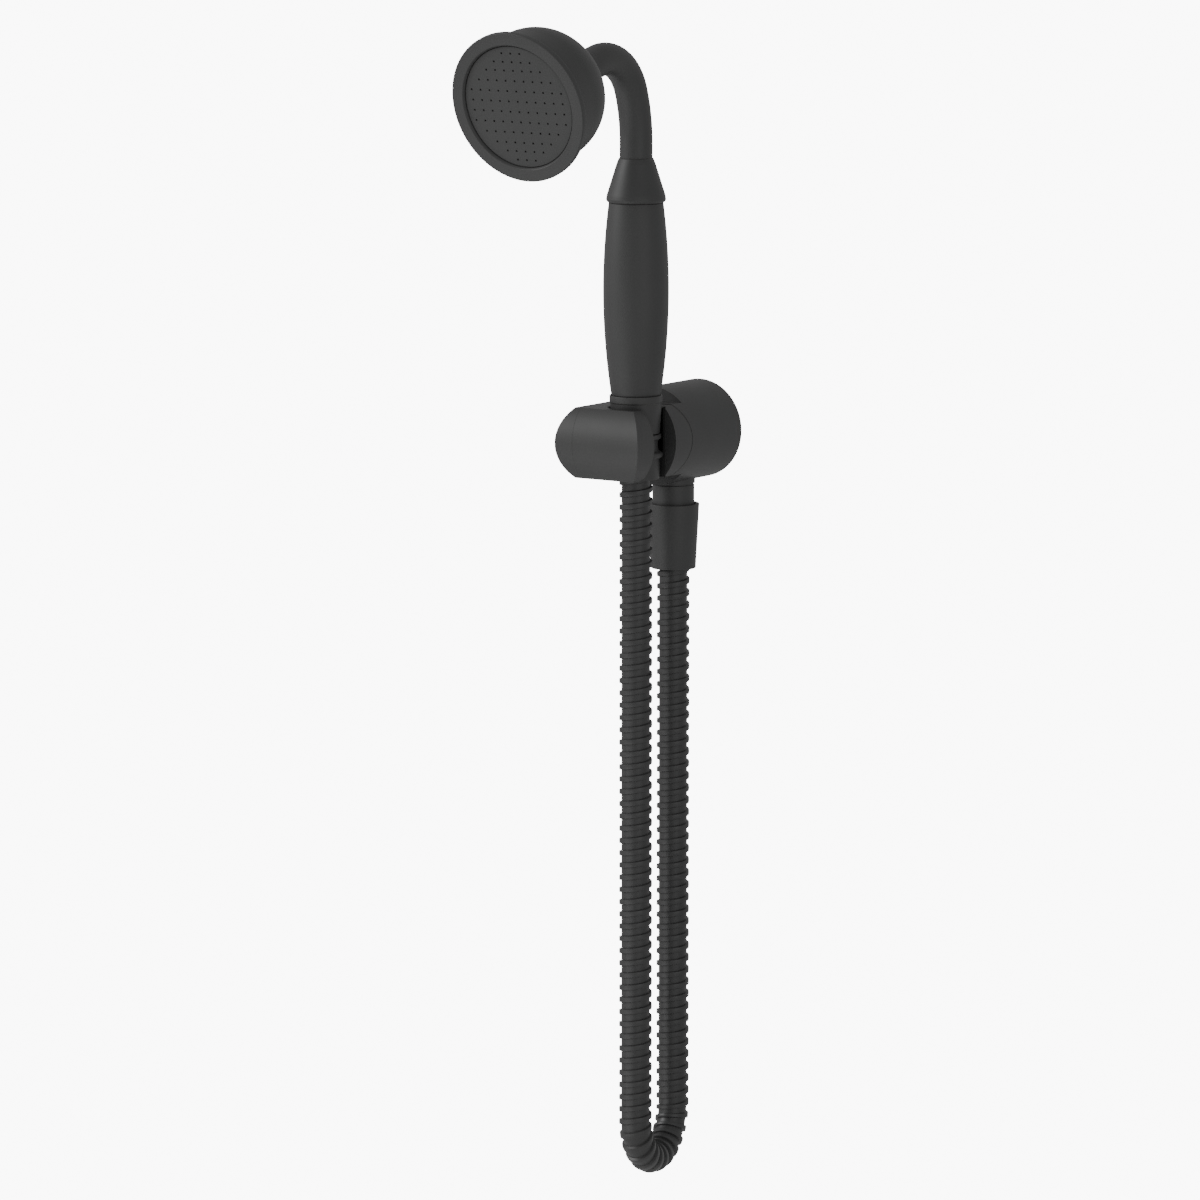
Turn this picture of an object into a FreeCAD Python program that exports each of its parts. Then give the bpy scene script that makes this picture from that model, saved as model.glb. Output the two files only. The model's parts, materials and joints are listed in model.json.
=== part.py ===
"""Handheld shower head parked in a tilting wall cradle, with its outlet elbow and short hose.

Frame: +Z is up and +Y points into the wall. The origin lies on the wall plane, on the axis of the
wall body, so everything in the room has a negative y. Lengths are millimetres.
"""
import FreeCAD, Part
import Sketcher
import math
import os
import re

Vector = FreeCAD.Vector
Rotation = FreeCAD.Rotation
Placement = FreeCAD.Placement

# Driving dimensions: alias, value, meaning. A value in quotes follows from the ones above it.
SIZES = [
    ("gap", 0.3, "clearance between faces that pass each other"),
    ("fit_gap", 0.08, "radial clearance of a running fit"),
    ("slip", 0.05, "radial clearance of parts that push together"),
    ("edge", 0.5, "bevel of a turned edge"),
    ("thread_radius", 10.45, "G1/2 male thread"),
    ("thread_bore", "thread_radius + fit_gap", "G1/2 thread inside a nut"),
    ("flange_radius", "thread_radius - 0.5", "flanges and washers inside a hose nut"),
    ("washer_radius", "flange_radius - 0.1", "hose washers, outside"),
    ("body_radius", 23.5, "wall body and cradle, about the wall body's axis"),
    ("knuckle_radius", 23.3, "round back and front of the cradle, about the tilt axis"),
    ("half_height", 16.75, "flat top and bottom of the cradle, from its middle"),
    ("reach", 66.0, "wall to the tilt axis and to the handset's axis"),
    ("front_step", 1.2, "front plane of the wall body behind the bottom of its saddle"),
    ("body_length", "reach - knuckle_radius - gap - front_step", "wall to the round front plane"),
    ("inlet_radius", "thread_radius + slip", "G1/2 female thread in the wall body"),
    ("inlet_depth", 12.0, "depth of the inlet thread"),
    ("filter_radius", "inlet_radius - 1", "inlet filter's seat below the thread"),
    ("filter_bore", 5.6, "inlet filter's mesh"),
    ("filter_thick", 2.0, "inlet filter's rim"),
    ("filter_mesh", 0.6, "thickness of the inlet filter's mesh"),
    ("gasket_radius", "body_radius - 3", "outer radius of the wall gasket"),
    ("gasket_bore", "gasket_radius - 5.5", "inner radius of the wall gasket"),
    ("gasket_thick", 1.5, "thickness of the wall gasket"),
    ("grub_radius", 2.0, "hole of the M4 grub screw"),
    ("grub_length", 8.5, "length of the grub screw"),
    ("grub_key", 2.0, "hexagon socket of the grub screw"),
    ("outlet_reach", 23.3, "wall to the outlet's axis"),
    ("passage_radius", 6.5, "waterway through the wall body"),
    ("boss_radius", 10.3, "outlet boss under the wall body"),
    ("boss_drop", "body_radius + 0.4", "wall body's axis to the bottom of the outlet boss"),
    ("stud_radius", "boss_radius - 1.3", "spigot stud screwed up into the boss"),
    ("stud_length", 11.9, "length of the spigot stud"),
    ("stud_top", "boss_drop - stud_length", "wall body's axis to the top of the spigot stud"),
    ("seal_thick", 1.5, "seal above the stud of the spigot"),
    ("spigot_radius", "boss_radius - 0.3", "smooth neck of the outlet spigot"),
    ("spigot_length", 22.1, "length of the spigot below the boss"),
    ("spigot_bottom", "boss_drop + spigot_length", "wall body's axis to the spigot's lower end"),
    ("thread_length", 10.0, "length of the spigot's thread"),
    ("valve_radius", "passage_radius + 0.5", "bore that holds the check valve"),
    ("valve_drop", 3.1, "boss to the top of the check valve"),
    ("valve_top", "boss_drop + valve_drop", "wall body's axis to the top of the check valve"),
    ("valve_length", 15.0, "length of the check valve cartridge"),
    ("valve_wall", 1.2, "wall of the check valve cartridge"),
    ("valve_end", 1.5, "thickness of the check valve's ends"),
    ("valve_seat", 4.0, "hole that the check valve's poppet shuts"),
    ("stem_radius", 1.5, "stem of the check valve's poppet"),
    ("stem_hole", 2.2, "guide of the poppet's stem"),
    ("poppet_radius", 5.0, "disc of the check valve's poppet"),
    ("spring_wire", 0.35, "radius of the check valve spring's wire"),
    ("spring_radius", 3.2, "radius of the check valve's spring"),
    ("hose_radius", 7.85, "hose over its ribs"),
    ("hose_bore", "hose_radius - 1.65", "inside of the hose's outer sheath"),
    ("liner_tube_radius", "hose_bore - 0.1", "hose's inner tube, outside"),
    ("liner_tube_bore", "liner_tube_radius - 1.5", "hose's inner tube, inside"),
    ("insert_radius", "liner_tube_bore - slip", "barb of the hose inserts"),
    ("insert_bore", "liner_tube_bore - 1.2", "waterway of the hose inserts"),
    ("hose_mouth", "hose_radius + gap", "hole of a nut or collar around the hose"),
    ("swivel_radius", "hose_radius - 0.45", "hose end insert where the handset turns on it"),
    ("nut_drop", 9.9, "boss to the top of the outlet hose nut"),
    ("nut_top", "boss_drop + nut_drop", "wall body's axis to the top of the outlet hose nut"),
    ("nut_length", 31.2, "length of the outlet hose nut"),
    ("nut_top_radius", "thread_radius + 1.95", "outlet hose nut at its top"),
    ("nut_low_radius", "max(hose_radius + 2.9; thread_radius + 0.3)", "outlet hose nut at its bottom"),
    ("washer_thick", 2.0, "outlet hose washer"),
    ("outlet_barb", 22.4, "length of the outlet insert's barb"),
    ("outlet_flange", 2.4, "thickness of the outlet insert's flange"),
    ("handset_x", 7.0, "handset's axis to the right of the wall body's axis"),
    ("slot_width", "2 * (hose_radius + 1.4)", "side slot of the cradle"),
    ("collar_bottom", -17.0, "lower end of the hose end collar"),
    ("collar_top", 4.2, "upper end of the hose end collar"),
    ("collar_radius", "hose_mouth + 2.95", "hose end collar's sleeve"),
    ("collar_ring", "max(collar_radius + 1.5; thread_radius + 2.15)", "hose end collar's seating ring"),
    ("collar_neck", "collar_radius - 0.7", "hose end collar's neck"),
    ("collar_lip", "collar_radius + 0.8", "hose end collar's upper ring"),
    ("ring_high", 2.4, "height of the seating ring"),
    ("collar_floor", 3.2, "thickness of the collar's upper end"),
    ("end_barb", 17.0, "length of the hose end insert's barb"),
    ("end_length", 22.2, "hose end insert below its flange"),
    ("end_flange", 1.8, "thickness of the hose end insert's flange"),
    ("end_washer", 1.9, "thickness of the hose end washer"),
    ("cone_bottom", "collar_top + gap", "lower end of the conical nut on the handset"),
    ("cone_length", 18.1, "length of the conical nut on the handset"),
    ("cone_floor", 2.5, "thickness of the conical nut's lower end"),
    ("cone_low_radius", "thread_radius + 0.75", "conical nut at its bottom"),
    ("cone_lip_radius", "collar_ring - 0.1", "conical nut at its lip"),
    ("lip_high", 3.4, "height of the conical nut's lip"),
    ("seat_radius", "collar_ring + gap", "cradle liner's upper bore"),
    ("shelf_radius", "collar_radius + 0.4", "cradle liner's lower bore"),
    ("liner_radius", "seat_radius + 1.2", "cradle liner, outside"),
    ("liner_bevel", 0.8, "depth of the bevel at the top of the liner's bore"),
    ("shelf_z", -7.2, "height of the shelf that carries the handset"),
    ("seam_x", -13.5, "seam between cradle body and end cap"),
    ("peg_radius", 1.55, "pegs of the cradle's end cap"),
    ("peg_length", 3.0, "length of the end cap's pegs"),
    ("screw_x", -4.0, "tilt screw, across"),
    ("screw_radius", 2.5, "M5 tilt screw"),
    ("screw_bite", 6.0, "tilt screw's thread in the wall body"),
    ("screw_key", 3.0, "hexagon socket of the tilt screw"),
    ("key_depth", 1.5, "depth of the tilt screw's socket"),
    ("head_radius", 4.25, "tilt screw's head"),
    ("head_high", 2.2, "height of the tilt screw's head"),
    ("spring_thick", 0.6, "thickness of the spring washer"),
    ("pad_radius", 4.9, "curved washer under the tilt screw"),
    ("pocket_radius", "knuckle_radius - 3.8", "tilt axis to the floor of the cradle's screw pocket"),
    ("pad_thick", 1.3, "thickness of the curved washer at its middle"),
    ("head_inner", "pocket_radius - pad_thick - spring_thick - head_high", "tilt axis to the screw's head"),
    ("tilt_back", 10.0, "degrees the cradle tilts towards the wall"),
    ("tilt_forward", 20.0, "degrees the cradle tilts into the room"),
    ("pocket_spare", 19.0, "degrees of screw pocket beyond the tilt"),
    ("track_spare", 9.0, "degrees of screw track beyond the tilt"),
    ("neck_radius", 7.75, "gooseneck tube, outside"),
    ("neck_bore", "neck_radius - 1.15", "gooseneck tube, inside"),
    ("tube_radius", "neck_bore", "handle's water tube, outside"),
    ("tube_bore", "tube_radius - 1.3", "handle's water tube, inside"),
    ("ring_bore", "tube_radius + 0.95", "bore around the water tube's O-rings"),
    ("o_ring_radius", 0.44, "radius of the O-rings' section"),
    ("barrel_bottom", "cone_bottom + cone_length + gap", "lower end of the handle barrel"),
    ("barrel_length", 90.2, "length of the handle barrel"),
    ("barrel_low_radius", "thread_radius + 1.25", "handle barrel at its lower end"),
    ("barrel_mid_radius", 15.45, "handle barrel halfway up"),
    ("barrel_top_radius", 12.9, "handle barrel at its upper end"),
    ("barrel_bore", "tube_radius + 3", "cavity of the handle barrel"),
    ("stub_length", 10.1, "threaded stub of the handle barrel"),
    ("stub_floor", 2.0, "barrel's floor above its stub"),
    ("tube_low", 8.0, "water tube below the barrel"),
    ("tube_high", 6.5, "water tube above the barrel"),
    ("flare_radius", "barrel_top_radius + 1.2", "lip of the flared collar"),
    ("flare_lip", 4.0, "height of the flared collar's rounded lip"),
    ("flare_length", 20.9, "length of the flared collar"),
    ("plug_length", 9.0, "flared collar inside the barrel"),
    ("neck_rest", 8.0, "gooseneck's lower end above the flared collar's lip"),
    ("neck_rise", 7.4, "straight gooseneck above the flared collar"),
    ("neck_start", "barrel_bottom + barrel_length + flare_length + neck_rise", "height of the first bend"),
    ("first_bend", 71.0, "radius of the gooseneck's gentle first bend"),
    ("first_turn", 20.0, "degrees turned by the first bend"),
    ("second_bend", 24.6, "radius of the gooseneck's tight second bend"),
    ("neck_turn", 105.0, "degrees turned by the whole gooseneck"),
    ("neck_tail", 22.0, "straight end of the gooseneck"),
    ("neck_insert", 13.0, "length of gooseneck inside the head's socket"),
    ("rim_radius", 35.8, "rim of the head"),
    ("rim_thick", 3.0, "thickness of the rim"),
    ("wall_radius", "rim_radius - 4", "head's round wall"),
    ("wall_depth", 17.7, "spray face to where the dome starts"),
    ("dome_radius", "wall_radius - 6.6", "radius of the dome's arc"),
    ("shell", 2.4, "wall thickness of the head"),
    ("socket_radius", "neck_radius + 1.15", "head's socket"),
    ("socket_length", 14.6, "head's socket behind the dome"),
    ("socket_depth", "wall_depth + dome_radius + socket_length", "spray face to the socket's end"),
    ("recess_radius", "wall_radius - 2.6", "recess in the spray face"),
    ("recess_depth", 2.1, "depth of the recess"),
    ("plate_radius", "recess_radius - 0.2", "spray plate"),
    ("plate_thick", 2.0, "thickness of the spray plate"),
    ("seal_radius", 0.95, "radius of the plate seal's section"),
    ("jet_radius", 0.5, "spray hole"),
    ("jet_pitch", 4.95, "spacing of the spray holes"),
    ("outer_pitch", 4.15, "spacing of the two outermost rows"),
]

# Spray holes in each row, from the middle outwards; every row appears above and below the middle.
JETS_PER_ROW = [11, 11, 9, 7, 5, 3]

# Centreline of the hose from the outlet nut to the handset's collar, chosen by hand.
HOSE_POINTS = [
    (0.0, -23.3, -50.6),
    (0.0, -23.3, -334.4),
    (1.9, -35.8, -347.0),
    (5.1, -53.5, -347.0),
    (7.0, -66.0, -334.4),
    (7.0, -66.0, 0.6),
]

doc = FreeCAD.newDocument("shower_head")
sheet = doc.addObject("Spreadsheet::Sheet", "Sizes")
for row, (alias, size, meaning) in enumerate(SIZES, start=1):
    sheet.set("A%d" % row, meaning)
    sheet.set("B%d" % row, "=%s" % size)
    sheet.setAlias("B%d" % row, alias)
doc.recompute()

ALIAS = re.compile(r"\b(%s)\b" % "|".join(sorted((entry[0] for entry in SIZES), key=len, reverse=True)))

# Where each group of parts stands: x, y, z of its local origin, as expressions of the sheet.
FACE_Y = ("-(reach + first_bend * (1 - cos(first_turn * 1deg))"
          " + second_bend * (cos(first_turn * 1deg) - cos(neck_turn * 1deg))"
          " + (neck_tail - neck_insert + socket_depth) * sin(neck_turn * 1deg))")
FACE_Z = ("neck_start + first_bend * sin(first_turn * 1deg)"
          " + second_bend * (sin(neck_turn * 1deg) - sin(first_turn * 1deg))"
          " + (neck_tail - neck_insert + socket_depth) * cos(neck_turn * 1deg)")
INTO_ROOM = (1, 0, 0, "90")            # local z points from the wall into the room
BACK_OF_HEAD = (-1, 0, 0, "180 - neck_turn")  # local z points from the spray face to the gooseneck


def ref(text):
    """Expression with every alias written as a cell of the sheet."""
    return ALIAS.sub(r"Sizes.\1", str(text))


def value(text):
    """Number that an expression of the sheet gives now."""
    result = sheet.evalExpression(ref(text))
    return float(getattr(result, "Value", result))


def place(item, x, y, z, turn=None):
    """Bind an object's placement to the sheet; turn is an axis and an angle in degrees."""
    if turn:
        item.Placement = Placement(Vector(), Rotation(Vector(*turn[:3]), value(turn[3])))
        item.setExpression(".Placement.Rotation.Angle", ref("(%s) * 1deg" % turn[3]))
    for axis, text in zip("xyz", (x, y, z)):
        item.setExpression(".Placement.Base.%s" % axis, ref("(%s) * 1mm" % text))
    return item


def bound(kind, name, **sizes):
    """Part primitive with its sizes bound to the sheet."""
    item = doc.addObject("Part::%s" % kind, name)
    for size, text in sizes.items():
        unit = "1deg" if size.startswith("Angle") else "1mm"
        item.setExpression(size, ref("(%s) * %s" % (text, unit)))
    return item


def cylinder(name, radius, length, where):
    """Cylinder along its local z."""
    return place(bound("Cylinder", name, Radius=radius, Height=length), *where)


def box(name, size, corner):
    """Box from its lowest corner."""
    item = bound("Box", name, Length=size[0], Width=size[1], Height=size[2])
    return place(item, *corner)


def cut(name, base, *tools):
    """Base without the tools."""
    for number, tool in enumerate(tools, start=1):
        label = name if number == len(tools) else "%s_step_%d" % (name, number)
        result = doc.addObject("Part::Cut", label)
        result.Base = base
        result.Tool = tool
        base = result
    base.Label = name
    return base


def fuse(name, *items):
    """One solid from several that overlap."""
    result = doc.addObject("Part::MultiFuse", name)
    result.Shapes = list(items)
    result.Refine = True
    return result


def common(name, *items):
    """What several solids share."""
    result = doc.addObject("Part::MultiCommon", name)
    result.Shapes = list(items)
    return result


def pin_vertex(sketch, geometry, point, r_text, z_text, label):
    """Hold one corner of a turned profile at its radius and height."""
    for text, kind, axis, part in ((r_text, "DistanceX", -2, "r"), (z_text, "DistanceY", -1, "z")):
        if value(text) == 0:
            sketch.addConstraint(Sketcher.Constraint("PointOnObject", geometry, point, axis))
            continue
        index = sketch.addConstraint(Sketcher.Constraint(kind, -1, 1, geometry, point, value(text)))
        sketch.renameConstraint(index, "%s_%s" % (label, part))
        sketch.setExpression("Constraints.%s_%s" % (label, part), ref("(%s) * 1mm" % text))


def turned(name, profile, where):
    """Body turned about its local z from (radius, height) corners.

    A corner with two more values starts an arc through that middle point to the next corner.
    """
    body = doc.addObject("PartDesign::Body", name)
    sketch = body.newObject("Sketcher::SketchObject", name + "_profile")
    plane = next(item for item in body.Origin.OriginFeatures if item.Role == "XZ_Plane")
    sketch.AttachmentSupport = [(plane, "")]
    sketch.MapMode = "FlatFace"
    corners = [Vector(value(corner[0]), value(corner[1]), 0) for corner in profile]
    ends = []
    for number, corner in enumerate(profile):
        first = corners[number]
        last = corners[(number + 1) % len(corners)]
        if len(corner) == 2:
            index = sketch.addGeometry(Part.LineSegment(first, last), False)
            ends.append((index, 1, 2))
            continue
        middle = Vector(value(corner[2]), value(corner[3]), 0)
        arc = Part.Arc(first, middle, last)
        index = sketch.addGeometry(arc, False)
        starts_first = sketch.getPoint(index, 1).distanceToPoint(first) < 1e-6
        ends.append((index, 1, 2) if starts_first else (index, 2, 1))
        guide = sketch.addGeometry(Part.Point(middle), True)
        sketch.addConstraint(Sketcher.Constraint("PointOnObject", guide, 1, index))
        pin_vertex(sketch, guide, 1, corner[2], corner[3], "arc%d" % number)
    for number, corner in enumerate(profile):
        before = ends[number - 1]
        here = ends[number]
        sketch.addConstraint(Sketcher.Constraint("Coincident", before[0], before[2], here[0], here[1]))
        pin_vertex(sketch, here[0], here[1], corner[0], corner[1], "corner%d" % number)
    turn = body.newObject("PartDesign::Revolution", name + "_turn")
    turn.Profile = sketch
    turn.ReferenceAxis = (sketch, ["V_Axis"])
    turn.Angle = 360
    body.Tip = turn
    return place(body, *where)


def ring(name, outer, inner, high, where):
    """Flat ring."""
    return turned(name, [(inner, 0), (outer, 0), (outer, high), (inner, high)], where)


def at_handset(z):
    """Placement on the handset's axis."""
    return ("handset_x", "-reach", z)


def at_outlet(z):
    """Placement on the outlet's axis."""
    return (0, "-outlet_reach", z)


def at_head(depth):
    """Placement on the head's axis, a depth behind the spray face."""
    y = "%s + (%s) * sin(neck_turn * 1deg)" % (FACE_Y, depth)
    z = "%s - (%s) * cos(neck_turn * 1deg)" % (FACE_Z, depth)
    return ("handset_x", y, z, BACK_OF_HEAD)


def across(name, radius, width, x, z=0):
    """Cylinder along X about the tilt axis, centred on x."""
    turn = (0, 1, 0, "90")
    return cylinder(name, radius, width, ("(%s) - (%s) / 2" % (x, width), "-reach", z, turn))


def wedge(name, radius, width, x, low, high):
    """Slice of a cylinder about the tilt axis, between two angles above the way to the wall."""
    item = bound("Cylinder", name, Radius=radius, Height=width, Angle="(%s) - (%s)" % (high, low))
    lie = Rotation(Vector(1, 1, 1), 120)
    start = Rotation(Vector(1, 0, 0), value(low))
    corner = Vector(value("(%s) - (%s) / 2" % (x, width)), -value("reach"), 0)
    item.Placement = Placement(corner, start.multiply(lie))
    return item


def hexagon(name, across_flats, high, where):
    """Six-sided socket, from its floor."""
    item = bound("Prism", name, Circumradius="(%s) / sqrt(3)" % across_flats, Height=high)
    item.Polygon = 6
    return place(item, *where)


def make_wall_body():
    """Round body on the wall: inlet, waterway, outlet boss and the saddle for the cradle."""
    drum = cylinder("drum", "body_radius", "body_length", (0, 0, 0, INTO_ROOM))
    horn_rod = cylinder("horn_rod", "body_radius", "reach", (0, 0, 0, INTO_ROOM))
    horn_box = box("horn_box", ("4 * body_radius", "reach", "2 * half_height + 0.4"),
                   ("-2 * body_radius", "-reach", "-half_height - 0.2"))
    horns = common("horns", horn_rod, horn_box)
    boss = cylinder("boss", "boss_radius", "boss_drop", at_outlet("-boss_drop"))
    solid = fuse("wall_solid", drum, horns, boss)
    saddle = across("saddle", "knuckle_radius + gap", "4 * body_radius", 0)
    inlet = cylinder("inlet", "inlet_radius", "inlet_depth", (0, 0, 0, INTO_ROOM))
    filter_seat = cylinder("filter_seat", "filter_radius", "inlet_depth + filter_thick + gap",
                           (0, 0, 0, INTO_ROOM))
    passage = cylinder("passage", "passage_radius", "outlet_reach", (0, 0, 0, INTO_ROOM))
    drop = cylinder("drop", "passage_radius", "boss_drop", at_outlet("-boss_drop"))
    stud_hole = cylinder("stud_hole", "stud_radius + fit_gap", "boss_drop - stud_top + seal_thick",
                         at_outlet("-boss_drop"))
    screw_hole = cylinder("screw_hole", "screw_radius", "screw_bite + 4",
                          ("screw_x", "-body_length + screw_bite + 1.5", 0, INTO_ROOM))
    groove = turned("groove", [("gasket_bore", 0), ("gasket_radius", 0), ("gasket_radius", "gasket_thick"),
                               ("gasket_bore", "gasket_thick")], (0, 0, 0, INTO_ROOM))
    grub_hole = cylinder("grub_hole", "grub_radius", "body_radius", (0, "-inlet_depth / 2", "-body_radius"))
    cut("wall_body", solid, saddle, inlet, filter_seat, passage, drop, stud_hole, screw_hole, groove,
        grub_hole)
    return "wall_body"


def make_wall_seals():
    """Gasket on the wall, the inlet's filter washer and the grub screw that locks the body."""
    ring("wall_gasket", "gasket_radius", "gasket_bore", "gasket_thick", (0, 0, 0, INTO_ROOM))
    rim = "filter_radius - slip"
    turned("inlet_filter", [
        (0, "filter_mesh"), ("filter_bore", "filter_mesh"), ("filter_bore", 0), (rim, 0),
        (rim, "filter_thick"), ("filter_bore", "filter_thick"), ("filter_bore", "2 * filter_mesh"),
        (0, "2 * filter_mesh")], (0, "-inlet_depth - gap", 0, INTO_ROOM))
    foot = (0, "-inlet_depth / 2", "-inlet_radius - grub_length - 0.1")
    rod = cylinder("grub_rod", "grub_radius - slip", "grub_length", foot)
    key = hexagon("grub_socket", "grub_key", "1.5 * grub_key", foot)
    cut("grub_screw", rod, key)
    return ["wall_gasket", "inlet_filter", "grub_screw"]


def make_outlet():
    """Spigot under the wall body, its seal and the check valve inside it."""
    long = "spigot_bottom - stud_top"
    turned("outlet_spigot", [
        ("passage_radius", 0), ("thread_radius", 0), ("thread_radius", "thread_length"),
        ("spigot_radius", "thread_length + 0.6"),
        ("spigot_radius", "spigot_bottom - boss_drop"), ("stud_radius", "spigot_bottom - boss_drop"),
        ("stud_radius", long), ("passage_radius", long), ("passage_radius", "spigot_bottom - valve_top"),
        ("valve_radius", "spigot_bottom - valve_top"),
        ("valve_radius", "spigot_bottom - valve_top - valve_length"),
        ("passage_radius", "spigot_bottom - valve_top - valve_length")], at_outlet("-spigot_bottom"))
    ring("spigot_seal", "stud_radius", "passage_radius", "seal_thick", at_outlet("-stud_top"))
    inner = "valve_radius - valve_wall"
    outer = "valve_radius - slip"
    turned("check_valve_body", [
        (inner, "valve_end"), ("stem_hole", "valve_end"), ("stem_hole", 0), (outer, 0),
        (outer, "valve_length"), ("valve_seat", "valve_length"), ("valve_seat", "valve_length - valve_end"),
        (inner, "valve_length - valve_end")], at_outlet("-valve_top - valve_length"))
    top = "valve_length - valve_end - 0.1"
    turned("check_valve_poppet", [
        (0, 0), ("stem_radius", 0), ("stem_radius", top + " - 2.4"), ("poppet_radius", top + " - 1.6"),
        ("poppet_radius", top), (0, top)], at_outlet("-valve_top - valve_length"))
    return ["outlet_spigot", "spigot_seal", "check_valve_body", "check_valve_poppet"]


def make_valve_spring():
    """Coil spring that holds the check valve shut."""
    low = value("-valve_top - valve_length + valve_end + 0.1")
    high = value("-valve_top - valve_end - 2.7")
    wire = value("spring_wire")
    radius = value("spring_radius")
    turns = 4.0
    rise = high - low - 2 * wire
    helix = Part.makeHelix(rise / turns, rise, radius)
    section = Part.Wire(Part.makeCircle(wire, Vector(radius, 0, 0), Vector(0, 1, 0)))
    coil = Part.Wire(helix).makePipeShell([section], True, True)
    item = doc.addObject("Part::Feature", "check_valve_spring")
    item.Shape = coil
    item.Placement = Placement(Vector(0, -value("outlet_reach"), low + wire), Rotation())
    return ["check_valve_spring"]


def make_tilt_screw():
    """Screw, spring washer and curved washer that hold the cradle against the wall body."""
    start = "-reach + head_inner"
    shank = "reach - head_inner - body_length + screw_bite"
    toward_wall = (-1, 0, 0, "90")
    head = cylinder("tilt_head", "head_radius", "head_high", ("screw_x", start, 0, toward_wall))
    rod = cylinder("tilt_rod", "screw_radius - 0.02", shank, ("screw_x", start, 0, toward_wall))
    key = hexagon("tilt_key", "screw_key", "key_depth", ("screw_x", start, 0, toward_wall))
    cut("tilt_screw", fuse("tilt_solid", head, rod), key)
    ring("spring_washer", "head_radius", "screw_radius + slip", "spring_thick",
         ("screw_x", start + " + head_high", 0, toward_wall))
    blank = ring("pad_blank", "pad_radius", "screw_radius + slip", "3 * pad_thick",
                 ("screw_x", start + " + head_high + spring_thick", 0, toward_wall))
    curve = across("pad_curve", "pocket_radius - 0.1", "4 * pad_radius", "screw_x")
    common("curved_washer", blank, curve)
    return ["tilt_screw", "spring_washer", "curved_washer"]


def knuckle(name):
    """Cradle's outer shape: round about both the wall body's axis and the tilt axis."""
    length = cylinder(name + "_rod", "body_radius", "2 * reach", (0, 0, 0, INTO_ROOM))
    roll = across(name + "_roll", "knuckle_radius", "4 * body_radius", 0)
    slab = box(name + "_slab", ("4 * body_radius", "2 * reach", "2 * half_height"),
               ("-2 * body_radius", "-2 * reach", "-half_height"))
    return common(name, length, roll, slab)


def slot_box(name):
    """Space that the hose passes through on its way sideways out of the cradle."""
    return box(name, ("2 * body_radius", "slot_width", "4 * half_height"),
               ("handset_x", "-reach - slot_width / 2", "-2 * half_height"))


def make_cradle():
    """Cradle body, its end cap and the liner that carries the handset."""
    side = ("4 * body_radius", "4 * body_radius", "4 * body_radius")
    left_corner = ("seam_x - 4 * body_radius", "-reach - 2 * body_radius", "-2 * body_radius")
    bore = cylinder("cradle_bore", "liner_radius", "4 * half_height", at_handset("-2 * half_height"))
    pocket = wedge("screw_pocket", "pocket_radius", "2 * pad_radius + 1", "screw_x",
                   "-tilt_forward - pocket_spare", "tilt_back + pocket_spare")
    track = wedge("screw_track", "knuckle_radius + 2", "2 * (screw_radius + gap)", "screw_x",
                  "-tilt_forward - track_spare", "tilt_back + track_spare")
    peg_turn = (0, 1, 0, "90")
    pegs = [("peg_upper", "half_height / 2"), ("peg_lower", "-half_height / 2")]
    peg_holes = [cylinder(name + "_hole", "peg_radius + slip", "peg_length + 0.2",
                          ("seam_x", "-reach", z, peg_turn)) for name, z in pegs]
    cut("cradle_body", knuckle("cradle_shape"), box("cap_space", side, left_corner), bore,
        slot_box("cradle_slot"), pocket, track, *peg_holes)
    cap = common("cap_shape", knuckle("cap_knuckle"), box("cap_side", side, left_corner))
    peg_rods = [cylinder(name, "peg_radius", "peg_length + 1", ("seam_x - 1", "-reach", z, peg_turn))
                for name, z in pegs]
    fuse("cradle_end_cap", cap, *peg_rods)
    low = "half_height + shelf_z"
    sleeve = turned("liner_sleeve", [
        ("shelf_radius", 0), ("liner_radius", 0), ("liner_radius", "2 * half_height"),
        ("seat_radius + 0.5", "2 * half_height"), ("seat_radius", "2 * half_height - liner_bevel"),
        ("seat_radius", low), ("shelf_radius", low)], at_handset("-half_height"))
    cut("cradle_liner", sleeve, slot_box("liner_slot"))
    return ["cradle_body", "cradle_end_cap", "cradle_liner"]


def make_outlet_nut():
    """Conical nut, washer and hose insert at the outlet."""
    floor = "nut_length - (spigot_bottom - nut_top) - washer_thick - outlet_flange - 0.6"
    turned("outlet_hose_nut", [
        ("hose_mouth", 0), ("nut_low_radius - 0.4", 0), ("nut_low_radius", "edge"),
        ("nut_top_radius", "nut_length - edge"), ("nut_top_radius - edge", "nut_length"),
        ("thread_bore", "nut_length"), ("thread_bore", floor), ("hose_mouth", floor)],
        at_outlet("-nut_top - nut_length"))
    ring("outlet_washer", "washer_radius", "liner_tube_bore", "washer_thick",
         at_outlet("-spigot_bottom - washer_thick"))
    long = "outlet_barb + outlet_flange"
    turned("outlet_insert", [
        ("insert_bore", 0), ("insert_radius", 0), ("insert_radius", "outlet_barb"),
        ("flange_radius", "outlet_barb"), ("flange_radius", long), ("insert_bore", long)],
        at_outlet("-spigot_bottom - washer_thick - (%s)" % long))
    return ["outlet_hose_nut", "outlet_washer", "outlet_insert"]


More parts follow.
